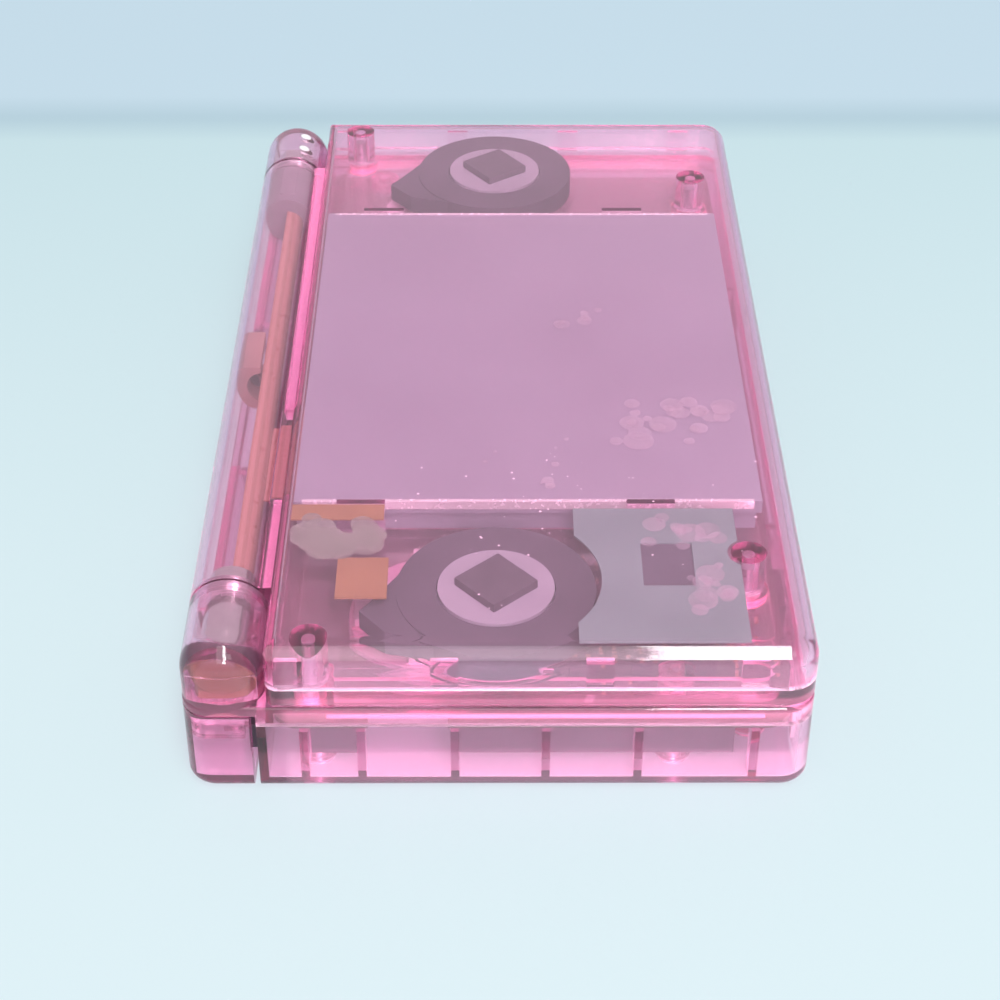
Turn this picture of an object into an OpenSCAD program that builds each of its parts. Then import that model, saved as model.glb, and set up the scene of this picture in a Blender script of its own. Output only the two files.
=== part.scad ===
/* [Case] */
// Width of the closed case, left end to right end
case_w = 133; // [130:0.5:137]
// Depth of the closed case, front edge to hinge side
case_d = 73.9; // [72.9:0.1:76]
// Wall of the moulded shells
wall = 1.2; // [1:0.05:1.4]
// Corner radius in plan
corner_r = 3.6; // [3.4:0.1:4.4]
// Rounding along the bottom edge of the base
base_edge_r = 1.6; // [1.5:0.1:2.4]
// Rounding along the top edge of the lid
lid_edge_r = 3; // [2.6:0.1:3.3]
// Small rounding where the lid and the base meet
rim_edge_r = 0.5; // [0.3:0.05:0.7]

/* [Heights] */
// How far the rubber feet stand out below the base
foot_h = 0.3; // [0.2:0.05:0.5]
// Height of the lower shell
lower_h = 10; // [9.8:0.1:10.8]
// Height of the upper housing above the parting line
upper_h = 2.7; // [2.6:0.05:3]
// Gap between the closed lid and the base
lid_gap = 0.3; // [0.25:0.05:0.5]
// Height of the lid's inner half
bezel_h = 2.5; // [2.4:0.05:2.8]
// Height of the lid's outer half
cover_h = 5.7; // [5.5:0.1:6.4]
// Thickness of the lid's roof
roof_t = 1.2; // [1:0.05:1.4]

/* [Hinge] */
// Radius of the hinge barrel
barrel_r = 4.9; // [4.7:0.05:5.1]
// How far the barrel's top lies below the lid's top
barrel_drop = 0.2; // [0.1:0.05:0.4]
// Wall of the hinge barrel
barrel_wall = 1; // [0.9:0.05:1.1]
// Width of each end knuckle
knuckle_w = 13.5; // [13:0.25:14.5]
// Gap between a knuckle and the barrel's end
knuckle_gap = 0.35; // [0.3:0.05:0.6]
// Rounding of a knuckle's outer end
knuckle_dome = 4; // [3.6:0.1:4.2]
// Radial gap between the barrel and its trough in the base
trough_gap = 0.4; // [0.3:0.05:0.5]
// Gap between the lid's back edge and the knuckles
lid_back_gap = 0.25; // [0.2:0.05:0.4]
// Radius of the hollow hinge tube at the left
tube_r = 2.95; // [2.7:0.05:3.1]
// Wall of the hinge tube
tube_wall = 0.6; // [0.5:0.05:0.8]
// Length of the hinge tube's straight part
tube_len = 11; // [10:0.5:12]
// Length of the click cartridge at the right
cartridge_len = 12; // [10:0.5:14]
// Radius of the shaft between cartridge and knuckle
cam_r = 2; // [1.8:0.1:2.2]
// Radial clearance of parts that turn
run_fit = 0.05; // [0.03:0.01:0.08]

/* [Screens] */
// Width of each visible screen
screen_w = 62.6; // [61:0.2:64]
// Depth of each visible screen
screen_d = 46.8; // [46:0.2:48]
// Width of the upper display module
display_w = 73; // [71:0.5:75]
// Gap from the upper display to the front wall's inside
display_front_gap = 2.75; // [2.5:0.25:3.25]
// Gap between the upper display and the lid's roof
display_roof_gap = 0.4; // [0.3:0.05:0.6]
// Thickness of the bezel's inner plate
plate_t = 0.8; // [0.7:0.05:0.9]
// Depth of the inner plate behind the bezel's rim
rim_step = 1.2; // [1.1:0.05:1.3]
// Centre of the lower screen, towards the hinge
lower_screen_y = -0.5; // [-1:0.1:0.5]
// Border of the touch glass hidden under the housing
touch_border = 1.6; // [1.4:0.1:2]
// Thickness of the touch glass
touch_t = 0.75; // [0.6:0.05:0.8]
// Housing left above the touch glass
touch_lip = 0.6; // [0.5:0.05:0.7]

/* [Speakers] */
// Gap between a speaker's boot and the upper display
speaker_in_gap = 3.7; // [3.4:0.1:4]
// Gap between a speaker's boot and the end wall
speaker_out_gap = 1.2; // [1.05:0.05:1.35]
// Speaker centre, towards the hinge
speaker_y = 0.25; // [0:0.25:1.25]
// Share of the boot's radius that the speaker's ring takes
ring_share = 0.585; // [0.56:0.005:0.61]
// Radius of each sound hole
sound_r = 0.85; // [0.7:0.05:0.95]
// Spacing of the sound holes
sound_pitch = 4.2; // [3.8:0.1:4.6]

/* [Controls] */
// How far both groups stand inwards of the middle of their side of the deck
control_in = 0.1; // [0:0.05:0.4]
// Centre of the direction pad and of the face buttons, towards the hinge
control_y = 7; // [6:0.5:8]
// Length across the direction pad
pad_len = 20.4; // [19.8:0.2:20.8]
// Width of one direction pad arm
pad_arm = 7; // [6.6:0.1:7.4]
// Rocking of the direction pad to each side, in degrees
pad_tilt = 2.5; // [2:0.1:2.7]
// Radius of a face button
face_r = 3.4; // [3.2:0.05:3.5]
// Distance of each face button from the group's centre
face_pitch = 6.9; // [6.6:0.1:7.1]
// Travel of a face button
face_travel = 0.7; // [0.5:0.05:0.75]
// Radius of the start and select buttons
small_r = 1.7; // [1.5:0.05:1.9]
// Distance between the start and select buttons
small_pitch = 7; // [6.5:0.25:8]
// How far the face buttons stand above the deck
button_rise = 0.8; // [0.7:0.05:0.9]
// Gap around a button in its hole
button_gap = 0.25; // [0.2:0.05:0.3]
// Travel of the power slider
power_travel = 2.5; // [2:0.1:3]
// Travel of the volume slider
volume_travel = 10; // [9:0.5:11]
// Gap between a shoulder button and the case
shoulder_gap = 0.75; // [0.7:0.05:0.85]
// Radius of the shoulder button's hinge pin
pin_r = 0.75; // [0.65:0.05:0.85]

/* [Slots] */
// Width of the large cartridge slot
cart_w = 58; // [57:0.25:58.5]
// Height of the large cartridge slot
cart_h = 7.1; // [6.9:0.1:7.2]
// Depth of the large cartridge slot
cart_depth = 33; // [32:0.5:33.5]
// Width of the small card slot
card_w = 34.4; // [34:0.1:35]
// Height of the small card slot
card_h = 4.15; // [4.1:0.05:4.2]
// Gap between the two slots, front to back
slot_gap = 3.9; // [3.4:0.1:4.4]
// Radius of the stylus
stylus_r = 2.15; // [2:0.05:2.2]
// Length of the stylus
stylus_len = 87.5; // [84:0.5:89]
// Radius of the headphone plug's bore
jack_r = 1.79; // [1.76:0.01:1.85]

/* [Power] */
// Room for the power switch between the battery bay and the end wall
switch_room = 3.9; // [3.7:0.1:4.9]
// Distance from the front wall to the battery pack
battery_front = 8.85; // [8.8:0.05:9.8]
// Thickness of the battery pack
battery_t = 5.2; // [4.8:0.1:5.4]
// Thickness of the main board
board_t = 0.8; // [0.7:0.05:1]

/* [Fasteners] */
// Radius of a screw's shank
screw_r = 0.8; // [0.7:0.05:0.9]
// Radius of a screw's head
head_r = 1.7; // [1.5:0.05:1.8]
// Radius of a screw post
post_r = 2.2; // [2:0.05:2.4]

/* [Hidden] */
$fn = 64;
hw = case_w / 2;
hd = case_d / 2;
base_z = foot_h;
split_z = foot_h + lower_h;
deck_z = split_z + upper_h;
lid_z = deck_z + lid_gap;
cover_z = lid_z + bezel_h;
top_z = cover_z + cover_h;
roof_z = top_z - roof_t;
floor_z = base_z + wall;
hinge_y = hd - barrel_r;
hinge_z = top_z - barrel_drop - barrel_r;
knuckle_x = hw - knuckle_w;
barrel_x = knuckle_x - knuckle_gap;
bore_r = barrel_r - barrel_wall;
lid_back_y = hinge_y - barrel_r - lid_back_gap;
lid_back_r = 1.5;
web_z = roof_z - 0.5;
// the base's back wall stays a little below the deck
back_z = deck_z - 0.8;
small_gap = 0.1;

// bezel: the inner plate lies above the rim, clear of the buttons
plate_z = lid_z + rim_step;
plate_top = plate_z + plate_t;
rim_w = 4;
upper_y = (lid_back_y - wall + -hd + wall + display_front_gap) / 2;
display_y0 = -hd + wall + display_front_gap;
display_y1 = lid_back_y - wall - 0.3;
display_z1 = roof_z - display_roof_gap;
lens_w = screen_w + 3;
lens_d = screen_d + 3;
// each speaker fills the room between the display and the end wall
boot_r = (hw - wall - display_w / 2 - speaker_in_gap - speaker_out_gap) / 2;
speaker_x = hw - wall - speaker_out_gap - boot_r;
ring_r = boot_r * ring_share;
pad_side = ring_r;
cap_t = 0.9;
boot_top = display_z1 - 1.2;
// the posts keep clear of the speakers and the display
lid_posts = [[4.8 - speaker_x, 6.75 - hd], [speaker_x - 4.8, 6.75 - hd],
    [3.7 - hw, lid_back_y - 5.1], [hw - 3.7, lid_back_y - 5.1]];
head_t = 1;
bumper_t = 0.5;

// base: board level and what stands on it
board_z = floor_z + cart_h + 0.3;
board_top = board_z + board_t;
deck_under = deck_z - wall;
flange_t = 0.6;
// a pressed button just reaches the dome of its membrane
membrane_top = deck_under - 0.2 - flange_t - face_travel - 0.2;
touch_z1 = deck_z - touch_lip;
touch_z0 = touch_z1 - touch_t;
panel_z0 = split_z + 0.02;
socket_d = 3.8;
// card slot just under the parting line
card_z0 = split_z - card_h;
stylus_y = hd - 13.6;
stylus_z = floor_z + stylus_r + 0.05;
bay_wall = 1;
bay_x0 = cart_w / 2 + bay_wall + 2.1;
// the battery pack fills the room right of the cartridge bay, from the front wall to the stylus
battery_w = hw - wall - switch_room - 1.3 - bay_x0;
battery_d = stylus_y - 9.25 + hd - wall - battery_front;
battery_x = bay_x0 + battery_w / 2;
battery_y = stylus_y - 9.25 - battery_d / 2;
bay_top = floor_z + battery_t + 0.4;
charge_x = knuckle_x - 15.5;
strap_x = knuckle_x - 5.4;
volume_x = 12.5 - hw;
jack_x = 24.5 - hw;
base_posts = [[-touch_w() / 2 - 2.6, 16 - hd], [battery_x - 6.1, 5.95 - hd], [6.1 - hw, 15.95 - hd],
    [6.1 - hw, hd - 15.45], [7.5 - charge_x, hd - 5.95], [charge_x - 7.5, hd - 5.95],
    [hw - 5.9, hd - 18.95]];
feet = [[11.5 - hw, 6.35 - hd], [hw - 9.5, 6.15 - hd], [7.5 - knuckle_x, hd - 5.75],
    [knuckle_x - 7.5, hd - 5.75]];
// the card bay takes the depth left behind the cartridge connector
card_depth = case_d - wall - cart_depth - socket_d - slot_gap;
// both groups of controls lie midway between the touch glass and the end walls
control_x = (touch_w() / 2 + hw - wall) / 2 - control_in;
power_y = -6;
small_y = -14;
// the direction pad's plate hangs low enough to rock
pad_drop = (pad_len / 2 + 0.9) * tan(pad_tilt) + 0.12;
small_x = control_x - 4;
power_z = (floor_z + split_z) / 2 + 1;

// shoulder buttons, at the right; the left one is its mirror
shoulder_x = knuckle_x + 0.4;
pocket_y = hd - 8.8;
shoulder_y = pocket_y + shoulder_gap;
shoulder_z = split_z + 1.4;
pin_x = knuckle_x + 2.4;
pin_y = pocket_y + 3.6;
lug_r = 1.7;
pin_z0 = floor_z + 0.6;
pin_z1 = split_z - 0.1;

// shapes used throughout, each given by its two ends
module slab(x0, x1, y0, y1, z0, z1) translate([x0, y0, z0]) cube([x1 - x0, y1 - y0, z1 - z0]);
module xcyl(x0, x1, y, z, r) translate([x0, y, z]) rotate([0, 90, 0]) cylinder(h = x1 - x0, r = r);
module ycyl(y0, y1, x, z, r) translate([x, y1, z]) rotate([90, 0, 0]) cylinder(h = y1 - y0, r = r);
module zcyl(z0, z1, x, y, r) translate([x, y, z0]) cylinder(h = z1 - z0, r = r);
module both() { children(); mirror([1, 0, 0]) children(); }

// plate with rounded corners in plan
module round_slab(x0, x1, y0, y1, z0, z1, r) {
    slab(x0 + r, x1 - r, y0, y1, z0, z1);
    slab(x0, x1, y0 + r, y1 - r, z0, z1);
    for (x = [x0 + r, x1 - r], y = [y0 + r, y1 - r]) zcyl(z0, z1, x, y, r);
}

// upright profile with a rounding at the top and one at the bottom
module edge_profile(w, h, ft, fb) {
    translate([-w / 2, fb]) square([w, h - ft - fb]);
    if (ft > 0) {
        translate([ft - w / 2, h - ft]) square([w - 2 * ft, ft]);
        for (s = [-1, 1]) translate([s * (w / 2 - ft), h - ft]) circle(ft);
    }
    if (fb > 0) {
        translate([fb - w / 2, 0]) square([w - 2 * fb, fb]);
        for (s = [-1, 1]) translate([s * (w / 2 - fb), fb]) circle(fb);
    }
}

// one corner of a case: the profile turned about the corner's centre
module corner_turn(x, y, z0, h, r, ft, fb) translate([x, y, z0]) rotate_extrude()
    intersection() {
        edge_profile(2 * r, h, ft, fb);
        translate([0, -1]) square([r + 1, h + 2]);
    }

// moulded case block: front corners rf, back corners rb, top rounding ft, bottom rounding fb
module case_block(x0, x1, y0, y1, z0, z1, rf, rb, ft, fb) {
    h = z1 - z0;
    translate([(x0 + x1) / 2, y1 - rb, z0]) rotate([90, 0, 0])
        linear_extrude(y1 - rb - y0 - rf) edge_profile(x1 - x0, h, ft, fb);
    translate([x0 + rf, y0 + rf, z0]) rotate([90, 0, 90])
        linear_extrude(x1 - x0 - 2 * rf) edge_profile(2 * rf, h, ft, fb);
    translate([x0 + rb, y1 - rb, z0]) rotate([90, 0, 90])
        linear_extrude(x1 - x0 - 2 * rb) edge_profile(2 * rb, h, ft, fb);
    for (x = [x0 + rf, x1 - rf]) corner_turn(x, y0 + rf, z0, h, rf, ft, fb);
    for (x = [x0 + rb, x1 - rb]) corner_turn(x, y1 - rb, z0, h, rb, ft, fb);
}

// the lid's block is cut off square behind, where it meets the barrel, with small roundings there
module lid_block(z0, z1, ft, fb, in) intersection() {
    back_r = max(lid_back_r - in, 0.3);
    y1 = lid_back_y - in;
    case_block(-hw + in, hw - in, -hd + in, y1 + 10, z0, z1, corner_r - in, corner_r - in, ft, fb);
    round_slab(-hw + in, hw - in, -hd - 10, y1, z0, z1, back_r);
    translate([-hw, (y1 - hd - 10) / 2, z0]) rotate([90, 0, 90]) linear_extrude(case_w)
        edge_profile(y1 + hd + 10, z1 - z0, ft > 0 ? back_r : 0, fb);
}
module base_block(z0, z1, ft, fb, in)
    case_block(-hw + in, hw - in, -hd + in, hd - in, z0, z1, corner_r - in, corner_r - in, ft, fb);

// ---- lid ----

// four clip catches along each end wall
module end_clips() both() for (i = [0 : 3])
    translate([hw - wall - 0.7, 7.45 - hd + i * (lid_back_y + hd - 10.3) / 3, 0])
        slab(0, 0.8, -1.6, 1.6, cover_z, cover_z + 3.4);

module lid_cover() color([0.95, 0.5, 0.7, 0.45]) difference() {
    union() {
        difference() {
            lid_block(cover_z, top_z, lid_edge_r, 0, 0);
            lid_block(cover_z - 1, roof_z, lid_edge_r - wall, 0, wall);
        }
        // upper half of the barrel, hung from a web behind the roof
        slab(-barrel_x, barrel_x, lid_back_y - wall, hinge_y, hinge_z, web_z);
        difference() {
            xcyl(-barrel_x, barrel_x, hinge_y, hinge_z, barrel_r);
            slab(-hw, hw, 0, hd + 1, 0, hinge_z);
        }
        for (p = lid_posts) zcyl(plate_top, roof_z + 0.1, p[0], p[1], post_r);
        end_clips();
        // ribs that locate the display from the sides
        both() for (y = [-22, 14])
            slab(display_w / 2 + small_gap, display_w / 2 + 1, y, y + 6, cover_z, roof_z + 0.1);
    }
    xcyl(-barrel_x + wall, barrel_x - wall, hinge_y, hinge_z, bore_r);
    xcyl(-hw, 0, hinge_y, hinge_z, tube_r + run_fit);
    xcyl(0, hw, hinge_y, hinge_z, cartridge_r());
    for (p = lid_posts) zcyl(plate_top - 1, roof_z - 0.6, p[0], p[1], screw_r);
    // way for the cables from the lid into the barrel
    slab(-34, -14, lid_back_y - 2, hinge_y, cover_z - 1, hinge_z + 1.6);
}

function cartridge_r() = bore_r - 0.2;

module lid_bezel() color([0.95, 0.5, 0.7, 0.45]) difference() {
    union() {
        difference() {
            lid_block(lid_z, cover_z, 0, rim_edge_r, 0);
            round_slab(-hw + rim_w, hw - rim_w, -hd + rim_w, lid_back_y - rim_w + 1, lid_z - 1, plate_z, 3);
            lid_block(plate_top, cover_z + 1, 0, 0, wall);
        }
        // lower half of the barrel
        slab(-barrel_x, barrel_x, lid_back_y - wall, hinge_y, lid_z + rim_edge_r, hinge_z);
        slab(-barrel_x, barrel_x, lid_back_y - wall, hinge_y - 3, lid_z, hinge_z);
        difference() {
            xcyl(-barrel_x, barrel_x, hinge_y, hinge_z, barrel_r);
            slab(-hw, hw, 0, hd + 1, hinge_z, top_z + 1);
        }
        for (p = lid_posts) zcyl(lid_z, plate_top, p[0], p[1], post_r + 0.5);
        // seats of the two speakers
        both() difference() {
            zcyl(plate_top - 0.1, plate_top + 0.5, speaker_x, speaker_y, boot_r + 0.9);
            zcyl(plate_top - 1, plate_top + 1, speaker_x, speaker_y, boot_r + small_gap);
        }
    }
    slab(-barrel_x, barrel_x, lid_back_y - wall - 1, lid_back_y, cover_z, hinge_z + 1);
    xcyl(-barrel_x + wall, barrel_x - wall, hinge_y, hinge_z, bore_r);
    xcyl(-hw, 0, hinge_y, hinge_z, tube_r + run_fit);
    xcyl(0, hw, hinge_y, hinge_z, cartridge_r());
    // screen opening
    translate([0, upper_y, 0])
        round_slab(-lens_w / 2 - small_gap, lens_w / 2 + small_gap, -lens_d / 2 - small_gap,
            lens_d / 2 + small_gap, lid_z - 1, cover_z, 1.5);
    // sound holes, two rows of three at each speaker
    both() for (i = [-1 : 1], s = [-1, 1])
        zcyl(lid_z, cover_z, speaker_x + s * sound_pitch / 2, speaker_y + i * sound_pitch, sound_r);
    // screws and the pads that hide them
    for (p = lid_posts) {
        zcyl(lid_z - 1, lid_z + bumper_t + head_t, p[0], p[1], head_r + 0.2);
        zcyl(lid_z - 1, cover_z, p[0], p[1], screw_r + 0.2);
    }
    // microphone hole
    translate([-1, hinge_y, hinge_z]) rotate([-125, 0, 0]) cylinder(h = 8, r = 0.6);
    // way for the cables
    slab(-34, -14, lid_back_y - 2, hinge_y, cover_z - 1, hinge_z + 1);
}

module upper_lens() color([0.82, 0.86, 0.9, 0.35]) translate([0, upper_y, 0])
    round_slab(-lens_w / 2, lens_w / 2, -lens_d / 2, lens_d / 2, plate_z, plate_top - 0.1, 1.4);

module upper_display() color([0.72, 0.66, 0.72]) difference() {
    union() {
        // glass and light guide
        slab(0.6 - display_w / 2, display_w / 2 - 0.6, display_y0 + 0.6, display_y1 - 0.2,
            plate_top, display_z1 - 1);
        // sheet metal back with its border folded down
        slab(-display_w / 2, display_w / 2, display_y0, display_y1, display_z1 - 1.8, display_z1);
    }
    // screw posts pass the corners
    for (p = lid_posts) zcyl(plate_top - 1, top_z, p[0], p[1], post_r + 0.2);
}

// flat cable: down the back of the display, into the barrel, then rolled along the barrel
module display_flex() color([0.86, 0.42, 0.2]) {
    slab(-32, -16, display_y1 + 0.02, display_y1 + 0.2, hinge_z + 0.3, display_z1 - 0.2);
    slab(-32, -16, display_y1 + 0.05, hinge_y - 2.2, hinge_z + 0.3, hinge_z + 0.5);
    difference() {
        xcyl(-knuckle_x - 3, barrel_x - cartridge_len - 1, hinge_y, hinge_z, 2.25);
        xcyl(-hw, hw, hinge_y, hinge_z, 2.0);
        slab(-hw, hw, hinge_y, hd, 0, top_z);
    }
}

// tape over the wires of the near speaker, and a strip along the display
module tape_patch() color([0.85, 0.5, 0.3]) {
    slab(-speaker_x - 3.7, 3.9 - speaker_x, 13.1, 19.2, roof_z - 0.25, roof_z - 0.02);
    slab(-display_w / 2 - 4.1, -display_w / 2 - 1.1, 14, display_y1, roof_z - 0.25, roof_z - 0.02);
}

// ---- speakers ----

module speaker() {
    difference() {
        zcyl(plate_top + 0.6, boot_top - cap_t - 0.05, 0, 0, boot_r - 1.6);
        zcyl(plate_top, plate_top + 1.8, 0, 0, boot_r - 3);
    }
    // cone and its surround
    difference() {
        translate([0, 0, plate_top + 0.7]) cylinder(h = 1.3, r1 = boot_r - 2.9, r2 = 3);
        translate([0, 0, plate_top + 0.5]) cylinder(h = 1.3, r1 = boot_r - 3, r2 = 2.8);
    }
    // back of the magnet, which comes through the boot's cap
    zcyl(boot_top - cap_t - 0.1, boot_top + 0.3, 0, 0, ring_r);
}
module speaker_left() color([0.66, 0.64, 0.68]) translate([-speaker_x, speaker_y, 0]) speaker();
module speaker_right() color([0.66, 0.64, 0.68]) translate([speaker_x, speaker_y, 0]) speaker();

// rubber boot: a cup over the speaker's back, with the tail that leads the wires away
module speaker_boots() color([0.24, 0.22, 0.26]) for (s = [-1, 1])
    translate([s * speaker_x, speaker_y, 0]) difference() {
        union() {
            zcyl(plate_top, boot_top, 0, 0, boot_r);
            translate([0, 0, plate_top + 0.6]) linear_extrude(display_z1 - 2 - plate_top)
                translate([-boot_r, boot_r])
                    polygon([[1.2, 3 - boot_r], [4.1, 1], [8, 4.2], [9.6, 3], [15.4, -0.6]]);
        }
        zcyl(plate_top - 1, boot_top - cap_t, 0, 0, boot_r - 1.5);
        zcyl(plate_top - 1, top_z, 0, 0, ring_r + 0.15);
    }

module speaker_pads() color([0.2, 0.19, 0.22]) for (s = [-1, 1])
    translate([s * speaker_x, speaker_y, boot_top + 0.32]) rotate([0, 0, s < 0 ? 42 : 36])
        translate([-pad_side / 2, -pad_side / 2, 0]) cube([pad_side, pad_side, roof_z - boot_top - 0.5]);

// ---- aerial ----

module antenna_foil() color([0.6, 0.58, 0.62]) difference() {
    slab(-hw + lid_edge_r + 0.1, -display_w / 2 - 2, 7.95 - hd, speaker_y - 9.5,
        roof_z - 0.22, roof_z - 0.02);
    zcyl(roof_z - 1, top_z, -speaker_x, speaker_y, boot_r + 0.6);
    // window over the chip
    slab(12.9 - hw, 21.1 - hw, 13.55 - hd, 19.75 - hd, roof_z - 1, top_z);
    for (p = lid_posts) zcyl(roof_z - 1, top_z, p[0], p[1], post_r + 0.4);
}
module antenna_chip() color([0.35, 0.32, 0.36])
    slab(12.5 - hw, 21.5 - hw, 13.15 - hd, 20.15 - hd, roof_z - 1.2, roof_z - 0.22);

// ---- microphone ----

module microphone() color([0.7, 0.68, 0.64])
    translate([-1, hinge_y, hinge_z]) rotate([-125, 0, 0]) translate([0, 0, 2.32]) cylinder(h = 1.1, r = 1.5);
module microphone_boot() color([0.5, 0.36, 0.26]) difference() {
    intersection() {
        slab(-5.5, 3.5, hinge_y + 0.2, hd, hinge_z - 3.4, hinge_z + 3.2);
        xcyl(-8, 8, hinge_y, hinge_z, bore_r - 0.02);
    }
    xcyl(-8, 8, hinge_y, hinge_z, 2.3);
    translate([-1, hinge_y, hinge_z]) rotate([-125, 0, 0]) cylinder(h = 9, r = 1.52);
}

// ---- fasteners of the lid ----

module lid_screws() color([0.78, 0.78, 0.8]) for (p = lid_posts) difference() {
    union() {
        zcyl(lid_z + bumper_t, lid_z + bumper_t + head_t - 0.02, p[0], p[1], head_r);
        zcyl(lid_z + bumper_t + 0.5, roof_z - 1.6, p[0], p[1], screw_r - 0.02);
    }
    cross_recess(p[0], p[1], lid_z + bumper_t);
}
module cross_recess(x, y, z) translate([x, y, z]) for (a = [0, 90]) rotate([0, 0, a])
    translate([-0.9, -0.2, -0.4]) cube([1.8, 0.4, 0.9]);

module lid_bumpers() color([0.9, 0.55, 0.7]) for (p = lid_posts)
    zcyl(lid_z - lid_gap + 0.1, lid_z + bumper_t - 0.02, p[0], p[1], head_r + 0.15);

// ---- hinge hardware ----

module hinge_cartridge() color([0.22, 0.22, 0.25]) difference() {
    union() {
        xcyl(barrel_x - cartridge_len, barrel_x, hinge_y, hinge_z, cartridge_r() - 0.05);
        slab(barrel_x - cartridge_len + 2, barrel_x - 2, hinge_y - 1, hinge_y + 1, hinge_z,
            hinge_z + bore_r - 0.25);
    }
    xcyl(barrel_x - 7, barrel_x + 1, hinge_y, hinge_z, cam_r + run_fit);
}
module hinge_cam() color([0.75, 0.75, 0.77]) {
    xcyl(barrel_x - 6, knuckle_x + 5, hinge_y, hinge_z, cam_r);
    translate([knuckle_x + wall, hinge_y, hinge_z]) rotate([0, 90, 0]) rotate([0, 0, 22.5])
        cylinder(h = 4, r = bore_r - 0.6, $fn = 8);
}
module hinge_tube() color([0.8, 0.8, 0.82]) difference() {
    union() {
        xcyl(-knuckle_x - 6.5, tube_len - knuckle_x - 6.5, hinge_y, hinge_z, tube_r);
        translate([-knuckle_x - 6.5, hinge_y, hinge_z]) sphere(tube_r);
    }
    xcyl(-knuckle_x - 6.5, 0, hinge_y, hinge_z, tube_r - tube_wall);
    slab(-knuckle_x - 6, -knuckle_x - 2.5, hinge_y - 1.4, hinge_y + 1.4, 0, hinge_z);
}

// ---- base ----

// a right knuckle: domed cylinder on a pedestal, hollow, with a wall at its inner end
module knuckle_body() {
    translate([knuckle_x, hinge_y, hinge_z]) rotate([0, 90, 0]) rotate_extrude() {
        square([barrel_r, knuckle_w - knuckle_dome]);
        square([barrel_r - knuckle_dome, knuckle_w]);
        intersection() {
            translate([barrel_r - knuckle_dome, knuckle_w - knuckle_dome]) circle(knuckle_dome);
            square([barrel_r, knuckle_w]);
        }
    }
    difference() {
        round_slab(knuckle_x - 5, hw, hinge_y - barrel_r, hd, deck_z - 1.1, hinge_z, knuckle_dome);
        slab(knuckle_x - 6, knuckle_x, 0, hd + 1, 0, top_z);
    }
}
module knuckle_hollow() {
    xcyl(knuckle_x + wall, hw - wall - 1.2, hinge_y, hinge_z, bore_r);
    slab(knuckle_x + wall, hw - wall - 1, hinge_y - bore_r, hinge_y + bore_r, deck_z - 0.1, hinge_z);
}

module dpad_shape(r) {
    square([pad_len + 2 * r, pad_arm + 2 * r], center = true);
    square([pad_arm + 2 * r, pad_len + 2 * r], center = true);
}
function face_at(i) = [control_x, control_y] + face_pitch * [[1, 0], [0, -1], [0, 1], [-1, 0]][i];
function small_at(i) = [small_x, small_y - i * small_pitch];

module base_upper() color([0.95, 0.5, 0.7, 0.45]) difference() {
    union() {
        difference() {
            base_block(split_z, deck_z, rim_edge_r, 0, 0);
            base_block(split_z - 1, deck_under, 0, 0, wall);
        }
        slab(-knuckle_x, knuckle_x, hinge_y - barrel_r - 1, hd - 0.1, split_z, back_z);
        slab(-hw + wall / 2, hw - wall / 2, pocket_y - 2, pocket_y - 0.1, split_z, deck_z - 0.3);
        both() knuckle_body();
        for (p = base_posts) if (p[1] < hinge_y - 2) zcyl(split_z, deck_under + 0.1, p[0], p[1], post_r);
        // rib that locates the lower panel from the front
        translate([0, lower_screen_y - touch_d() / 2 - small_gap, 0])
            slab(-screen_w / 3, screen_w / 3, -0.8, 0.1, split_z, deck_under + 0.1);
    }
    // trough for the barrel and the low back wall
    xcyl(-knuckle_x, knuckle_x, hinge_y, hinge_z, barrel_r + trough_gap);
    slab(-knuckle_x, knuckle_x, hinge_y, hd + 1, back_z, top_z);
    // corners that the shoulder buttons fill
    both() slab(knuckle_x, hw + 1, pocket_y, hd + 1, 0, shoulder_z + 0.2);
    both() knuckle_hollow();
    xcyl(-hw + 5, -knuckle_x + 1, hinge_y, hinge_z, tube_r + 0.02);
    xcyl(knuckle_x - 1, knuckle_x + 2, hinge_y, hinge_z, cam_r + 0.02);
    // status windows in the right knuckle
    for (x = status_xs()) zcyl(hinge_z + 2, top_z, x, hinge_y - 1.6, 0.85);
    // screen opening, with a rebate under it for the touch glass
    screen_slab(screen_w, screen_d, split_z, deck_z + 1);
    screen_slab(touch_w() + 2 * small_gap, touch_d() + 2 * small_gap, split_z - 1, touch_z1);
    // controls
    translate([-control_x, control_y, split_z]) linear_extrude(5) dpad_shape(0.35);
    for (i = [0 : 3]) zcyl(split_z, deck_z + 1, face_at(i)[0], face_at(i)[1], face_r + button_gap);
    for (i = [0, 1]) zcyl(split_z, deck_z + 1, small_at(i)[0], small_at(i)[1], small_r + button_gap);
    for (p = base_posts)
        zcyl(floor_z, p[1] < hinge_y - 2 ? deck_under + 0.5 : split_z + 1.2, p[0], p[1], screw_r);
    // the card goes in just under this edge
    slab(-card_w / 2, card_w / 2, hd - 3, hd + 1, split_z - 1, split_z + 0.02);
}
// block centred on the lower screen
module screen_slab(w, d, z0, z1)
    slab(-w / 2, w / 2, lower_screen_y - d / 2, lower_screen_y + d / 2, z0, z1);
function status_xs() = [knuckle_x + 4, knuckle_x + 8];
function touch_w() = screen_w + 2 * touch_border;
function touch_d() = screen_d + 2 * touch_border;

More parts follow.
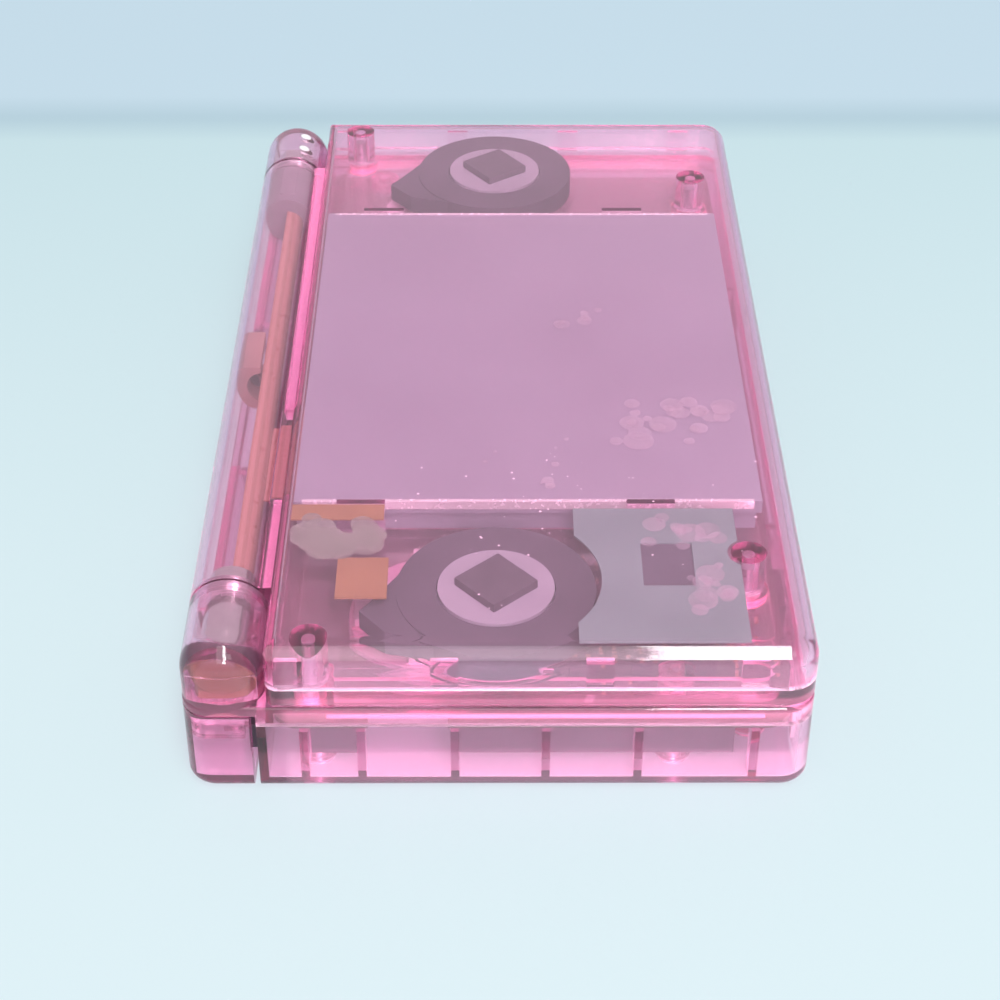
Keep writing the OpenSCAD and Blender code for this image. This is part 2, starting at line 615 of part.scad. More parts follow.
module base_lower() color([0.95, 0.5, 0.7, 0.45]) difference() {
    union() {
        difference() {
            base_block(base_z, split_z, 0, base_edge_r, 0);
            base_block(floor_z, split_z + 1, 0, base_edge_r - wall, wall);
        }
        // walls round the shoulder button pockets
        both() intersection() {
            base_block(base_z, split_z, 0, base_edge_r, 0);
            union() {
                slab(knuckle_x - 1, knuckle_x, pocket_y - 1, hd, base_z, split_z);
                slab(knuckle_x - 1, hw, pocket_y - 1, pocket_y, base_z, split_z);
            }
        }
        // lugs that hold the shoulder pins
        both() for (z = [[pin_z0, pin_z0 + 1], [pin_z1 - 1, pin_z1]]) difference() {
            slab(knuckle_x - 0.1, pin_x + 1.5, pocket_y - 0.1, pin_y + 1.5, z[0], z[1]);
        }
        // cartridge bay
        both() slab(cart_w / 2, cart_w / 2 + bay_wall, -hd + wall, -hd + cart_depth + 5,
            floor_z - 0.1, board_z);
        slab(-cart_w / 2, cart_w / 2, -hd + cart_depth + 4, -hd + cart_depth + 5, floor_z - 0.1, board_z - 2);
        // battery bay
        battery_slab(1.3, floor_z - 0.1, bay_top + 0.8);
        zcyl(floor_z - 0.1, bay_top, battery_x, battery_screw_y(), post_r);
        // card bay rails
        both() slab(card_w / 2 + 0.8, card_w / 2 + 1.8, hd - wall - card_depth, hd - wall,
            stylus_z + stylus_r + 0.5, split_z);
        // stylus cradle
        for (i = [1 : 4]) slab(hw - i * 21.5, hw + 1.2 - i * 21.5, stylus_y - 3.4, stylus_y + 3.4,
            floor_z - 0.1, stylus_z + 1.4);
        slab(hw - stylus_len - 1.6, hw - stylus_len - 0.4, stylus_y - 3, stylus_y + 3, floor_z - 0.1,
            stylus_z + 2.4);
        // ribs along the end walls that carry the board
        for (y = [22.8, 16.1, 5.1, -5.6, -16.5, -30.1]) {
            slab(-hw + wall - 0.1, -hw + wall + 2.4, y - 0.5, y + 0.5, floor_z - 0.1, board_z);
            if (y < power_y - 8 || (y > 0 && y < 15))
                slab(hw - wall - 1.6, hw - wall + 0.1, y - 0.5, y + 0.5, floor_z - 0.1, board_z);
        }
        for (p = base_posts) zcyl(floor_z - 0.1, split_z, p[0], p[1], post_r);
    }
    // cartridge slot in the front edge, card slot in the back edge
    slab(-cart_w / 2, cart_w / 2, -hd - 1, -hd + wall + 0.1, floor_z, floor_z + cart_h);
    slab(-card_w / 2, card_w / 2, hd - wall - 0.1, hd + 1, card_z0, split_z + 1);
    // shoulder button corners
    both() difference() {
        slab(knuckle_x, hw + 1, pocket_y, hd + 1, 0, split_z + 1);
        for (z = [[pin_z0, pin_z0 + 1], [pin_z1 - 1, pin_z1]])
            slab(knuckle_x - 0.1, pin_x + 1.5, pocket_y - 0.1, pin_y + 1.5, z[0], z[1]);
    }
    both() zcyl(pin_z0 - 0.1, split_z, pin_x, pin_y, pin_r + 0.02);
    // battery door opening and its screw
    battery_door(0.2, -1);
    battery_slab(0.3, base_z, bay_top);
    zcyl(0, bay_top - 0.8, battery_x, battery_screw_y(), screw_r);
    // stylus
    xcyl(hw - stylus_len - 0.3, hw + 1, stylus_y, stylus_z, stylus_r + 0.15);
    // screws from below
    for (p = base_posts) {
        zcyl(-1, base_z + head_t + 0.2, p[0], p[1], head_r + 0.2);
        zcyl(-1, split_z + 1, p[0], p[1], screw_r + 0.2);
    }
    // feet stand in shallow seats
    for (p = feet) zcyl(-1, base_z + 0.4, p[0], p[1], 2.3);
    // headphone jack, charging socket, strap loop
    ycyl(-hd - 1, -hd + wall + 0.1, jack_x, jack_z(), jack_r + 0.9);
    slab(charge_x - 4, charge_x + 4, hd - wall - 0.1, hd + 1, split_z - 5.4, split_z - 1.8);
    slab(strap_x - 1.9, strap_x + 1.9, hd - 3.2, hd + 1, split_z - 5.2, split_z - 2.6);
    // sliders
    slab(hw - wall - 0.1, hw + 1, power_y - 2.8, power_y + 2.8 + power_travel, power_z - 1.3, power_z + 1.3);
    slab(volume_x - volume_travel / 2 - 2.6, volume_x + volume_travel / 2 + 2.6, -hd - 1, -hd + wall + 0.1,
        power_z - 1.3, power_z + 1.3);
}
function jack_z() = board_z - 3.1;
function battery_screw_y() = battery_y + battery_d / 2 + 3.6;
// block round the battery pack, larger by a gap on each side
module battery_slab(gap, z0, z1)
    slab(battery_x - battery_w / 2 - gap, battery_x + battery_w / 2 + gap, battery_y - battery_d / 2 - gap,
        battery_y + battery_d / 2 + gap, z0, z1);

module battery_door(gap, z0) {
    round_slab(battery_x - battery_w / 2 - 0.9 - gap, battery_x + battery_w / 2 + 0.9 + gap,
        battery_y - battery_d / 2 - 0.9 - gap, battery_y + battery_d / 2 + 0.9 + gap, z0, floor_z - 0.4,
        1.5 + gap);
    round_slab(battery_x - 5 - gap, battery_x + 5 + gap,
        battery_y, battery_y + battery_d / 2 + 6.2 + gap, z0, floor_z - 0.4, 1.5 + gap);
}
module battery_cover() color([0.95, 0.5, 0.7, 0.45]) difference() {
    union() {
        battery_door(0, base_z);
        for (i = [-1 : 1]) slab(battery_x - battery_w / 2 + 3, battery_x + battery_w / 2 - 3,
            battery_y + i * 12, battery_y + i * 12 + 1, floor_z - 0.5, floor_z);
    }
    zcyl(0, 3, battery_x, battery_screw_y(), screw_r + 0.2);
    zcyl(0, base_z + 0.7, battery_x, battery_screw_y(), head_r + 0.2);
}
module battery_cover_screw() color([0.78, 0.78, 0.8]) difference() {
    union() {
        zcyl(base_z + 0.05, base_z + 0.68, battery_x, battery_screw_y(), head_r);
        zcyl(base_z + 0.5, bay_top - 1, battery_x, battery_screw_y(), screw_r - 0.02);
    }
    cross_recess(battery_x, battery_screw_y(), base_z + 0.05);
}
module battery_pack() color([0.36, 0.36, 0.4]) difference() {
    round_slab(battery_x - battery_w / 2, battery_x + battery_w / 2, battery_y - battery_d / 2,
        battery_y + battery_d / 2, floor_z + 0.12, floor_z + 0.12 + battery_t, 1.2);
    // contacts at one end
    for (i = [-1 : 1]) slab(battery_x + i * 3 - 0.8, battery_x + i * 3 + 0.8, battery_y + battery_d / 2 - 1,
        battery_y + battery_d / 2 + 1, floor_z + 2, floor_z + 4);
}

module main_board() color([0.16, 0.36, 0.26]) difference() {
    round_slab(-hw + wall + 0.6, hw - wall - 0.6, -hd + wall + 1.2, pocket_y - 1.6, board_z, board_top, 3);
    // the card bay and the posts pass through
    slab(-card_w / 2 - 2, card_w / 2 + 2, hd - wall - card_depth - 1.2, hd, 0, top_z);
    // notch between two ribs of the left end wall
    slab(-hw, 5.5 - hw, 5.9, 15.3, 0, top_z);
    for (p = base_posts) zcyl(0, top_z, p[0], p[1], post_r + 0.2);
}
module_x = control_x - 5;
module wireless_module() color([0.75, 0.75, 0.78]) {
    slab(-module_x - 8, 8 - module_x, control_y - 7, control_y + 15, board_z - 1.8, board_z);
    slab(-module_x - 6, 6 - module_x, control_y - 5, control_y + 13, board_z - 2.1, board_z - 1.7);
}

// sheet metal cage that guides the card and holds its contacts
module card_reader() color([0.72, 0.72, 0.74]) {
    z0 = card_z0 - 0.2;
    y0 = hd - wall - card_depth;
    difference() {
        slab(-card_w / 2 - 0.4, card_w / 2 + 0.4, y0, hd - wall - 0.3, z0, split_z - 0.02);
        slab(-card_w / 2, card_w / 2, y0 + 1.2, hd, card_z0, split_z + 1);
        for (x = [-12, -4, 4, 12]) slab(x - 1.5, x + 1.5, stylus_y + 3, stylus_y + 7, z0 - 1, card_z0 + 0.1);
    }
    // spring contacts
    for (i = [-8 : 8]) slab(i * 1.5 - 0.25, i * 1.5 + 0.25, y0 + 1.1, y0 + 5, card_z0 - 0.1, card_z0 + 0.35);
}
module cartridge_connector() color([0.2, 0.2, 0.22]) difference() {
    y0 = -hd + cart_depth;
    slab(5 - cart_w / 2, cart_w / 2 - 5, y0, y0 + socket_d, floor_z + 0.8, board_z);
    slab(8 - cart_w / 2, cart_w / 2 - 8, y0 - 1, y0 + 2.6, floor_z + 2.6, floor_z + 4.4);
}

module lower_display() color([0.3, 0.3, 0.34]) {
    screen_slab(touch_w(), touch_d(), panel_z0, touch_z0 - 0.02);
    // rails on the board
    both() slab(25.5, 28.5, lower_screen_y - touch_d() / 2, lower_screen_y + touch_d() / 2 - 4, board_top,
        panel_z0 + 0.1);
}
module touch_glass() color([0.8, 0.84, 0.88, 0.35])
    screen_slab(touch_w(), touch_d(), touch_z0, touch_z1 - 0.02);

// ---- controls ----

module dpad() color([0.92, 0.9, 0.92]) translate([-control_x, control_y, 0]) difference() {
    union() {
        translate([0, 0, deck_under - pad_drop - 0.2])
            linear_extrude(deck_z + button_rise - deck_under + pad_drop + 0.2) dpad_shape(0);
        zcyl(deck_under - pad_drop - 0.5, deck_under - pad_drop, 0, 0, pad_len / 2 + 0.9);
        zcyl(membrane_top + 0.05, deck_under - pad_drop - 0.4, 0, 0, 1.2);
    }
    // hollow in the middle and a groove on each arm
    translate([0, 0, deck_z + button_rise + 5.4]) sphere(6);
    for (a = [0 : 90 : 270]) rotate([0, 0, a])
        translate([pad_len / 2 - 3, -1.2, deck_z + button_rise - 0.25]) cube([0.6, 2.4, 1]);
}
module dpad_membrane() color([0.8, 0.8, 0.82]) translate([-control_x, control_y, 0]) {
    zcyl(board_top, membrane_top, 0, 0, pad_len / 2 + 1);
    for (a = [0 : 90 : 270]) rotate([0, 0, a]) zcyl(board_top, membrane_top + 0.1, 7, 0, 2);
}

module round_button(p, r, rise, flange) translate([p[0], p[1], 0]) {
    translate([0, 0, deck_under - 0.2 - flange_t]) rotate_extrude() {
        square([r, deck_z + rise - 0.4 - deck_under + 0.2 + flange_t]);
        square([r - 0.4, deck_z + rise - deck_under + 0.2 + flange_t]);
        translate([r - 0.4, deck_z + rise - 0.4 - deck_under + 0.2 + flange_t]) circle(0.4, $fn = 32);
        square([flange, flange_t]);
    }
}
module button_a() color([0.92, 0.9, 0.92]) round_button(face_at(0), face_r, button_rise, face_r + 0.8);
module button_b() color([0.92, 0.9, 0.92]) round_button(face_at(1), face_r, button_rise, face_r + 0.8);
module button_x() color([0.92, 0.9, 0.92]) round_button(face_at(2), face_r, button_rise, face_r + 0.8);
module button_y() color([0.92, 0.9, 0.92]) round_button(face_at(3), face_r, button_rise, face_r + 0.8);
module button_membrane() color([0.8, 0.8, 0.82]) {
    zcyl(board_top, membrane_top, control_x, control_y, face_pitch + 4.2);
    for (i = [0 : 3]) zcyl(board_top, membrane_top + 0.1, face_at(i)[0], face_at(i)[1], 2.2);
}
module start_button() color([0.92, 0.9, 0.92])
    round_button(small_at(0), small_r, button_rise - 0.4, small_r + 0.6);
module select_button() color([0.92, 0.9, 0.92])
    round_button(small_at(1), small_r, button_rise - 0.4, small_r + 0.6);
module start_membrane() color([0.8, 0.8, 0.82])
    round_slab(small_x - 2.6, small_x + 2.6, small_y - small_pitch - 2.6, small_y + 2.6,
        board_top, membrane_top, 2);

// sliders: a ribbed knob in the slot, a plate behind the wall and a fork for the switch
module power_slider() color([0.92, 0.9, 0.92]) difference() {
    union() {
        slab(hw - wall - 0.5, hw, power_y - 2.5, power_y + 2.5, power_z - 1, power_z + 1);
        slab(hw - wall - 0.9, hw - wall - 0.2, power_y - 4.6, power_y + 3.8, power_z - 1.9, power_z + 1.9);
    }
    for (y = [-1.4, 0, 1.4]) slab(hw - 0.3, hw + 1, power_y + y - 0.3, power_y + y + 0.3, 0, top_z);
}
module power_switch() color([0.3, 0.3, 0.32])
    slab(hw - wall - 3.6, hw - wall - 1.1, power_y - 4, power_y + 5, board_z - 2.2, board_z);
module volume_slider() color([0.92, 0.9, 0.92]) difference() {
    x0 = volume_x - volume_travel / 2;
    union() {
        slab(x0 - 2.4, x0 + 2.4, -hd, -hd + wall + 0.5, power_z - 1, power_z + 1);
        slab(x0 - 3.2, x0 + 3.2, -hd + wall + 0.2, -hd + wall + 0.8, power_z - 1.9, power_z + 1.9);
    }
    for (x = [-1.4, 0, 1.4]) slab(x0 + x - 0.3, x0 + x + 0.3, -hd - 1, -hd + 0.3, 0, top_z);
}
module volume_switch() color([0.3, 0.3, 0.32])
    slab(volume_x - 6.6, volume_x + 5, -hd + wall + 1, -hd + wall + 4.2, board_z - 2.4, board_z);

module headphone_jack() color([0.2, 0.2, 0.22]) difference() {
    union() {
        slab(jack_x - 3.6, jack_x + 3.6, -hd + wall + 0.1, -hd + wall + 12.1, jack_z() - 2.7, board_z);
        ycyl(-hd + 0.2, -hd + wall + 1, jack_x, jack_z(), jack_r + 0.75);
    }
    ycyl(-hd - 1, -hd + wall + 10.5, jack_x, jack_z(), jack_r);
}
module charge_socket() color([0.7, 0.7, 0.72]) difference() {
    slab(charge_x - 3.9, charge_x + 3.9, hd - 8, hd - 0.4, split_z - 5.3, split_z - 1.9);
    slab(charge_x - 3.5, charge_x + 3.5, hd - 7, hd + 1, split_z - 4.9, split_z - 2.3);
}

// ---- shoulder buttons ----

module shoulder() difference() {
    union() {
        difference() {
            intersection() {
                base_block(base_z, deck_z + 3, 0, base_edge_r, 0);
                slab(shoulder_x, hw + 1, shoulder_y, hd + 1, base_z + 0.1, shoulder_z);
            }
            slab(knuckle_x, hw - wall - 0.4, 0, hd - wall - 0.2, base_z + wall + 0.3, shoulder_z - 1);
        }
        // lug on the pin and the arm that carries it
        zcyl(pin_z0 + 1.15, pin_z1 - 3.2, pin_x, pin_y, lug_r);
        slab(pin_x - 0.6, pin_x + 0.6, pin_y, hd - wall, pin_z0 + 1.15, pin_z1 - 3.2);
        // finger that works the switch
        slab(hw - 6, hw - 4.6, shoulder_y + 1.2, hd - wall, floor_z + 3.4, floor_z + 5.4);
    }
    zcyl(0, top_z, pin_x, pin_y, pin_r + run_fit);
}
module shoulder_right() color([0.95, 0.5, 0.7, 0.45]) shoulder();
module shoulder_left() color([0.95, 0.5, 0.7, 0.45]) mirror([1, 0, 0]) shoulder();
module shoulder_pins() color([0.78, 0.78, 0.8]) both() zcyl(pin_z0, pin_z1, pin_x, pin_y, pin_r);
module shoulder_springs() color([0.6, 0.6, 0.62]) both() {
    for (i = [0 : 2]) translate([pin_x, pin_y, pin_z1 - 1.4 - i * 0.6])
        rotate_extrude() translate([1.35, 0]) circle(0.25, $fn = 16);
    difference() {
        zcyl(pin_z1 - 2.7, pin_z1 - 1.3, pin_x, pin_y, 1.5);
        zcyl(pin_z1 - 3, pin_z1, pin_x, pin_y, 1.2);
    }
}
module shoulder_switches() color([0.3, 0.3, 0.32]) both() {
    slab(hw - 7.4, hw - 3.2, pocket_y + 0.02, pocket_y + 1.2, floor_z + 2.6, floor_z + 6.2);
}

// ---- stylus, windows, screws, feet ----

module stylus() color([0.93, 0.55, 0.7]) difference() {
    union() {
        xcyl(hw - stylus_len + 4, hw - 4, stylus_y, stylus_z, stylus_r);
        translate([hw - stylus_len, stylus_y, stylus_z]) rotate([0, 90, 0])
            cylinder(h = 4, r1 = 0.8, r2 = stylus_r - 0.4);
        translate([hw - 4, stylus_y, stylus_z]) rotate([0, 90, 0]) cylinder(h = 4, r = stylus_r - 0.15);
    }
    // nail groove near the outer end
    slab(hw - 2.2, hw - 1.2, 0, hd, stylus_z + stylus_r - 0.5, top_z);
}
module status_windows() color([0.85, 0.9, 0.8]) for (x = status_xs()) intersection() {
    zcyl(hinge_z + 3.3, top_z, x, hinge_y - 1.6, 0.8);
    xcyl(x - 2, x + 2, hinge_y, hinge_z, barrel_r);
}
module base_screws() color([0.78, 0.78, 0.8]) for (p = base_posts) difference() {
    union() {
        zcyl(base_z + 0.2, base_z + head_t + 0.18, p[0], p[1], head_r);
        zcyl(base_z + 0.5, split_z + 1.1, p[0], p[1], screw_r - 0.02);
    }
    cross_recess(p[0], p[1], base_z + 0.2);
}
module rubber_feet() color([0.9, 0.55, 0.7]) for (p = feet) zcyl(0, base_z + 0.38, p[0], p[1], 2.25);

lid_cover();
lid_bezel();
upper_lens();
upper_display();
display_flex();
tape_patch();
speaker_left();
speaker_right();
speaker_boots();
speaker_pads();
antenna_foil();
antenna_chip();
microphone();
microphone_boot();
lid_screws();
lid_bumpers();
hinge_cartridge();
hinge_cam();
hinge_tube();
base_upper();
base_lower();
battery_cover();
battery_cover_screw();
battery_pack();
main_board();
wireless_module();
card_reader();
cartridge_connector();
lower_display();
touch_glass();
dpad();
dpad_membrane();
button_a();
button_b();
button_x();
button_y();
button_membrane();
start_button();
select_button();
start_membrane();
power_slider();
power_switch();
volume_slider();
volume_switch();
headphone_jack();
charge_socket();
shoulder_left();
shoulder_right();
shoulder_pins();
shoulder_springs();
shoulder_switches();
stylus();
status_windows();
base_screws();
rubber_feet();
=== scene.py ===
import math

import bmesh
import bpy
from mathutils import Matrix, Vector


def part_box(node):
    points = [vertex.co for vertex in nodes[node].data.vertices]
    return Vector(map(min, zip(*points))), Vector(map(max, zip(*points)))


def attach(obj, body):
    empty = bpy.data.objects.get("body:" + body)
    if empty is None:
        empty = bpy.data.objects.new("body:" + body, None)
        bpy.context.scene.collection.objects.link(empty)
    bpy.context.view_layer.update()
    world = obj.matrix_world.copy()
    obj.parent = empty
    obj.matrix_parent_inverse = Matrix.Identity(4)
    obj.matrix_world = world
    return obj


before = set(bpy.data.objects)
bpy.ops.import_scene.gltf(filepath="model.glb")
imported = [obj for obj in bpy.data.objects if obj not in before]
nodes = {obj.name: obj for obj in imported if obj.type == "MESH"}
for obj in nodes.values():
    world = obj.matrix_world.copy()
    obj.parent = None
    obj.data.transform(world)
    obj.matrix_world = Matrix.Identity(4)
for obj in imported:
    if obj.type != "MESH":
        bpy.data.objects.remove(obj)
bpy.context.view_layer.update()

mm = 0.001
print("loaded", len(nodes), "nodes")


def low(node):
    return Vector(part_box(node)[0])


def high(node):
    return Vector(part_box(node)[1])


camera = {
    "place": (-0.25166, 0.0009, 0.18069),
    "lens": 77.6,
    "sensor": 36.0,
    "pitch": 36.621,  # degrees down from level
    "turn": -0.315,   # degrees from +X towards +Y
    "roll": 0.144,
    "clip": (0.01, 20),
}


def makeCamera(s):
    turn, pitch, roll = (math.radians(s[k]) for k in ("turn", "pitch", "roll"))
    ahead = Vector((math.cos(turn) * math.cos(pitch), math.sin(turn) * math.cos(pitch), -math.sin(pitch)))
    right = Vector((math.sin(turn), -math.cos(turn), 0))
    up = right.cross(ahead)
    right, up = right * math.cos(roll) + up * math.sin(roll), up * math.cos(roll) - right * math.sin(roll)
    data = bpy.data.cameras.new("camera")
    data.lens = s["lens"]
    data.sensor_width = s["sensor"]
    data.clip_start, data.clip_end = s["clip"]
    obj = bpy.data.objects.new("camera", data)
    bpy.context.scene.collection.objects.link(obj)
    turned = Matrix((right, up, -ahead)).transposed().to_4x4()
    obj.matrix_world = Matrix.Translation(s["place"]) @ turned
    bpy.context.scene.camera = obj


makeCamera(camera)

white = (1, 1, 1)


def srgb(r, g, b):
    def one(c):
        c /= 255
        return c / 12.92 if c <= 0.04045 else ((c + 0.055) / 1.055) ** 2.4
    return one(r), one(g), one(b)


def newMaterial(name):
    mat = bpy.data.materials.new(name)
    mat.use_nodes = True
    mat.node_tree.nodes.clear()
    return mat, mat.node_tree


def addNode(tree, kind, values=None, **settings):
    n = tree.nodes.new(kind)
    for k, v in settings.items():
        setattr(n, k, v)
    for k, v in (values or {}).items():
        n.inputs[k].default_value = v
    return n


def join(tree, source, target):
    tree.links.new(source, target)


def objectPlace(tree):
    return addNode(tree, "ShaderNodeTexCoord").outputs["Object"]


def splitAxes(tree, vector):
    n = addNode(tree, "ShaderNodeSeparateXYZ")
    join(tree, vector, n.inputs["Vector"])
    return n.outputs


# a sum of one or two values, each a number or another node's result
def maths(tree, operation, first, second=None):
    n = addNode(tree, "ShaderNodeMath", operation=operation)
    for i, value in enumerate((first, second)):
        if isinstance(value, (int, float)):
            n.inputs[i].default_value = value
        elif value is not None:
            join(tree, value, n.inputs[i])
    return n.outputs[0]


# steps of ever finer detail in a noise pattern
steps = {"cloud": 4, "haze": 3, "grain": 2}


def noise(tree, place, scale, kind, rough=0.5):
    n = addNode(tree, "ShaderNodeTexNoise", {"Scale": scale, "Detail": steps[kind], "Roughness": rough})
    join(tree, place, n.inputs["Vector"])
    return n.outputs["Fac"]


def ramp(tree, source, stops):
    n = addNode(tree, "ShaderNodeValToRGB")
    band = n.color_ramp
    while len(band.elements) < len(stops):
        band.elements.new(0)  # its place is set below
    for e, (at, colour) in zip(band.elements, stops):
        e.position = at
        e.color = (*colour, 1)
    join(tree, source, n.inputs["Fac"])
    return n.outputs["Color"]


# two close colours spread over a surface by a pattern
def mottle(tree, source, dark, light, at=(0.3, 0.7)):
    return ramp(tree, source, list(zip(at, (dark, light))))


def spread(tree, source, lowest, highest, start=0.3, end=0.7):
    n = addNode(tree, "ShaderNodeMapRange",
                {"From Min": start, "From Max": end, "To Min": lowest, "To Max": highest})
    join(tree, source, n.inputs["Value"])
    return n.outputs["Result"]


def bump(tree, height, strength, distance):
    n = addNode(tree, "ShaderNodeBump", {"Strength": strength, "Distance": distance})
    join(tree, height, n.inputs["Height"])
    return n.outputs["Normal"]


def mixColours(tree, first, second, share, way="MIX"):
    n = addNode(tree, "ShaderNodeMix", data_type="RGBA", blend_type=way)
    if isinstance(share, float):
        n.inputs["Factor"].default_value = share
    else:
        join(tree, share, n.inputs["Factor"])
    join(tree, first, n.inputs["A"])
    join(tree, second, n.inputs["B"])
    return n.outputs["Result"]


def blendShaders(tree, first, second, share):
    n = addNode(tree, "ShaderNodeMixShader")
    if isinstance(share, float):
        n.inputs["Fac"].default_value = share
    else:
        join(tree, share, n.inputs["Fac"])
    join(tree, first, n.inputs[1])
    join(tree, second, n.inputs[2])
    return n.outputs["Shader"]


def addShaders(tree, first, second):
    n = addNode(tree, "ShaderNodeAddShader")
    join(tree, first, n.inputs[0])
    join(tree, second, n.inputs[1])
    return n.outputs["Shader"]


def finish(tree, shader, inside=None):
    out = addNode(tree, "ShaderNodeOutputMaterial")
    join(tree, shader, out.inputs["Surface"])
    if inside:
        join(tree, inside, out.inputs["Volume"])


# a see-through finish that stops little of the lamps' light
def passLamps(tree, body, kept):
    path = addNode(tree, "ShaderNodeLightPath")
    clear = addNode(tree, "ShaderNodeBsdfTransparent", {"Color": (*kept, 1)})
    return blendShaders(tree, body, clear.outputs["BSDF"], path.outputs["Is Shadow Ray"])


shell = {
    "pale": (1.0, 0.985, 0.99),     # faint variation of the surface
    "inside": (0.70, 0.175, 0.47),  # what the plastic keeps of the light going through it
    "density": 330.0,
    "ior": 1.54,
    "kept": (0.96, 0.95, 0.955),    # what it keeps of the lamps' own light
    "cloud": 35,
    "cloudAt": (0.35, 0.65),
    "fine": 900,
    "rough": (0.03, 0.07),
    "bump": (0.05, 0.0003),
    # light scattered near the faces, on top of what passes: level faces from the left end to the right
    "milk": [(-66, (0.06, 0.042, 0.052)), (0, (0.065, 0.048, 0.06)), (66, (0.09, 0.074, 0.085))],
    # upright faces, from the foot up: clear wall, wall before the board, seam, lid; these bands are painted
    # light and shade: more milk low on the clear wall and at the seam, and a painted shadow of less milk on
    # the wall before the board
    "wallMilkWithPaintedLight": [(0, (0.27, 0.17, 0.22)), (6.0, (0.22, 0.13, 0.17)), (6.4, (0.08, 0.05, 0.062)),
                 (10.2, (0.09, 0.05, 0.068)), (10.5, (0.2, 0.1, 0.14)), (12.4, (0.5, 0.18, 0.28)),
                 (14.4, (0.46, 0.18, 0.27)), (14.8, (0.14, 0.11, 0.135)), (21.5, (0.1, 0.085, 0.1))],
    "level": (0.15, 0.85),  # how far a face leans back: upright up to the first, level from the second
    # painted shade: behind the hinge the upright faces keep only a share of their milk
    "hinge": 24.8,          # behind this Y the upright faces have only a share of their milk
    "hingeShadeShare": 0.4,
    "hingeFade": 0.5,
    "reach": 40,            # mm in front of the middle and behind it
    "through": 0.4,         # share of the milk that is lit from behind
}


# place along an axis, in mm, as a colour
def alongAxis(tree, place, axis, stops):
    first, last = stops[0][0], stops[-1][0]
    at = spread(tree, splitAxes(tree, place)[axis], 0, 1, first * mm, last * mm)
    return ramp(tree, at, [((where - first) / (last - first), colour) for where, colour in stops])


# clear pink plastic with a little milk in it, painted lighter and darker by place on its upright faces; lamps
# shine through it
def shellPlastic(name, s):
    mat, t = newMaterial(name)
    place = objectPlace(t)
    cloud = noise(t, place, s["cloud"], "cloud")
    fine = noise(t, place, s["fine"], "grain")
    p = addNode(t, "ShaderNodeBsdfPrincipled", {"Transmission Weight": 1.0, "IOR": s["ior"]})
    join(t, mottle(t, cloud, s["pale"], white, s["cloudAt"]), p.inputs["Base Color"])
    join(t, spread(t, fine, *s["rough"]), p.inputs["Roughness"])
    join(t, bump(t, cloud, *s["bump"]), p.inputs["Normal"])
    # how far each face turns away from upright
    facing = splitAxes(t, addNode(t, "ShaderNodeTexCoord").outputs["Normal"])
    level = spread(t, maths(t, "ABSOLUTE", facing["Z"]), 0, 1, *s["level"])
    # painted shade behind the hinge
    hingeShadeLevel = (s["hingeShadeShare"],) * 3
    hingeShade = alongAxis(t, place, "Y", [
        (-s["reach"], white), (s["hinge"] - s["hingeFade"], white),
        (s["hinge"] + s["hingeFade"], hingeShadeLevel), (s["reach"], hingeShadeLevel)])
    # painted light and shade: the milk on upright faces changes in bands by height, with less of it behind
    # the hinge
    wall = mixColours(t, alongAxis(t, place, "Z", s["wallMilkWithPaintedLight"]), hingeShade, 1.0, "MULTIPLY")
    either = mixColours(t, wall, alongAxis(t, place, "X", s["milk"]), level)
    milk = addNode(t, "ShaderNodeBsdfDiffuse")
    glow = addNode(t, "ShaderNodeBsdfTranslucent")
    join(t, either, milk.inputs["Color"])
    join(t, either, glow.inputs["Color"])
    scattered = blendShaders(t, milk.outputs["BSDF"], glow.outputs["BSDF"], s["through"])
    body = addShaders(t, p.outputs["BSDF"], scattered)
    inside = addNode(t, "ShaderNodeVolumeAbsorption", {"Color": (*s["inside"], 1), "Density": s["density"]})
    finish(t, passLamps(t, body, s["kept"]), inside.outputs["Volume"])
    return mat


# opaque finish: clouds of two close colours over a fine grain
grain = {"finer": 12, "height": 0.00005, "coatRough": 0.08}


def solidFinish(name, dark, light, rough=(0.35, 0.55), metal=0.0, scale=120, bumpBy=0.1, coat=0.0):
    mat, t = newMaterial(name)
    place = objectPlace(t)
    cloud = noise(t, place, scale, "cloud")
    fine = noise(t, place, scale * grain["finer"], "grain")
    p = addNode(t, "ShaderNodeBsdfPrincipled",
                {"Metallic": metal, "Coat Weight": coat, "Coat Roughness": grain["coatRough"]})
    join(t, mottle(t, cloud, srgb(*dark), srgb(*light)), p.inputs["Base Color"])
    join(t, spread(t, fine, *rough), p.inputs["Roughness"])
    join(t, bump(t, fine, bumpBy, grain["height"]), p.inputs["Normal"])
    finish(t, p.outputs["BSDF"])
    return mat


# thin stripes of copper under a clear film, along the length of a flat cable
flatCable = {
    "film": srgb(178, 122, 116), "copper": srgb(160, 106, 98), "stripeAt": (0.45, 0.6),
    "pitch": 0.5 * mm, "wander": 0.3,
    "turn": 6.28,  # one stripe in the texture's own measure
    "coat": 0.5, "coatRough": 0.15, "fine": 700, "rough": (0.25, 0.45), "bump": (0.2, 0.00003),
}


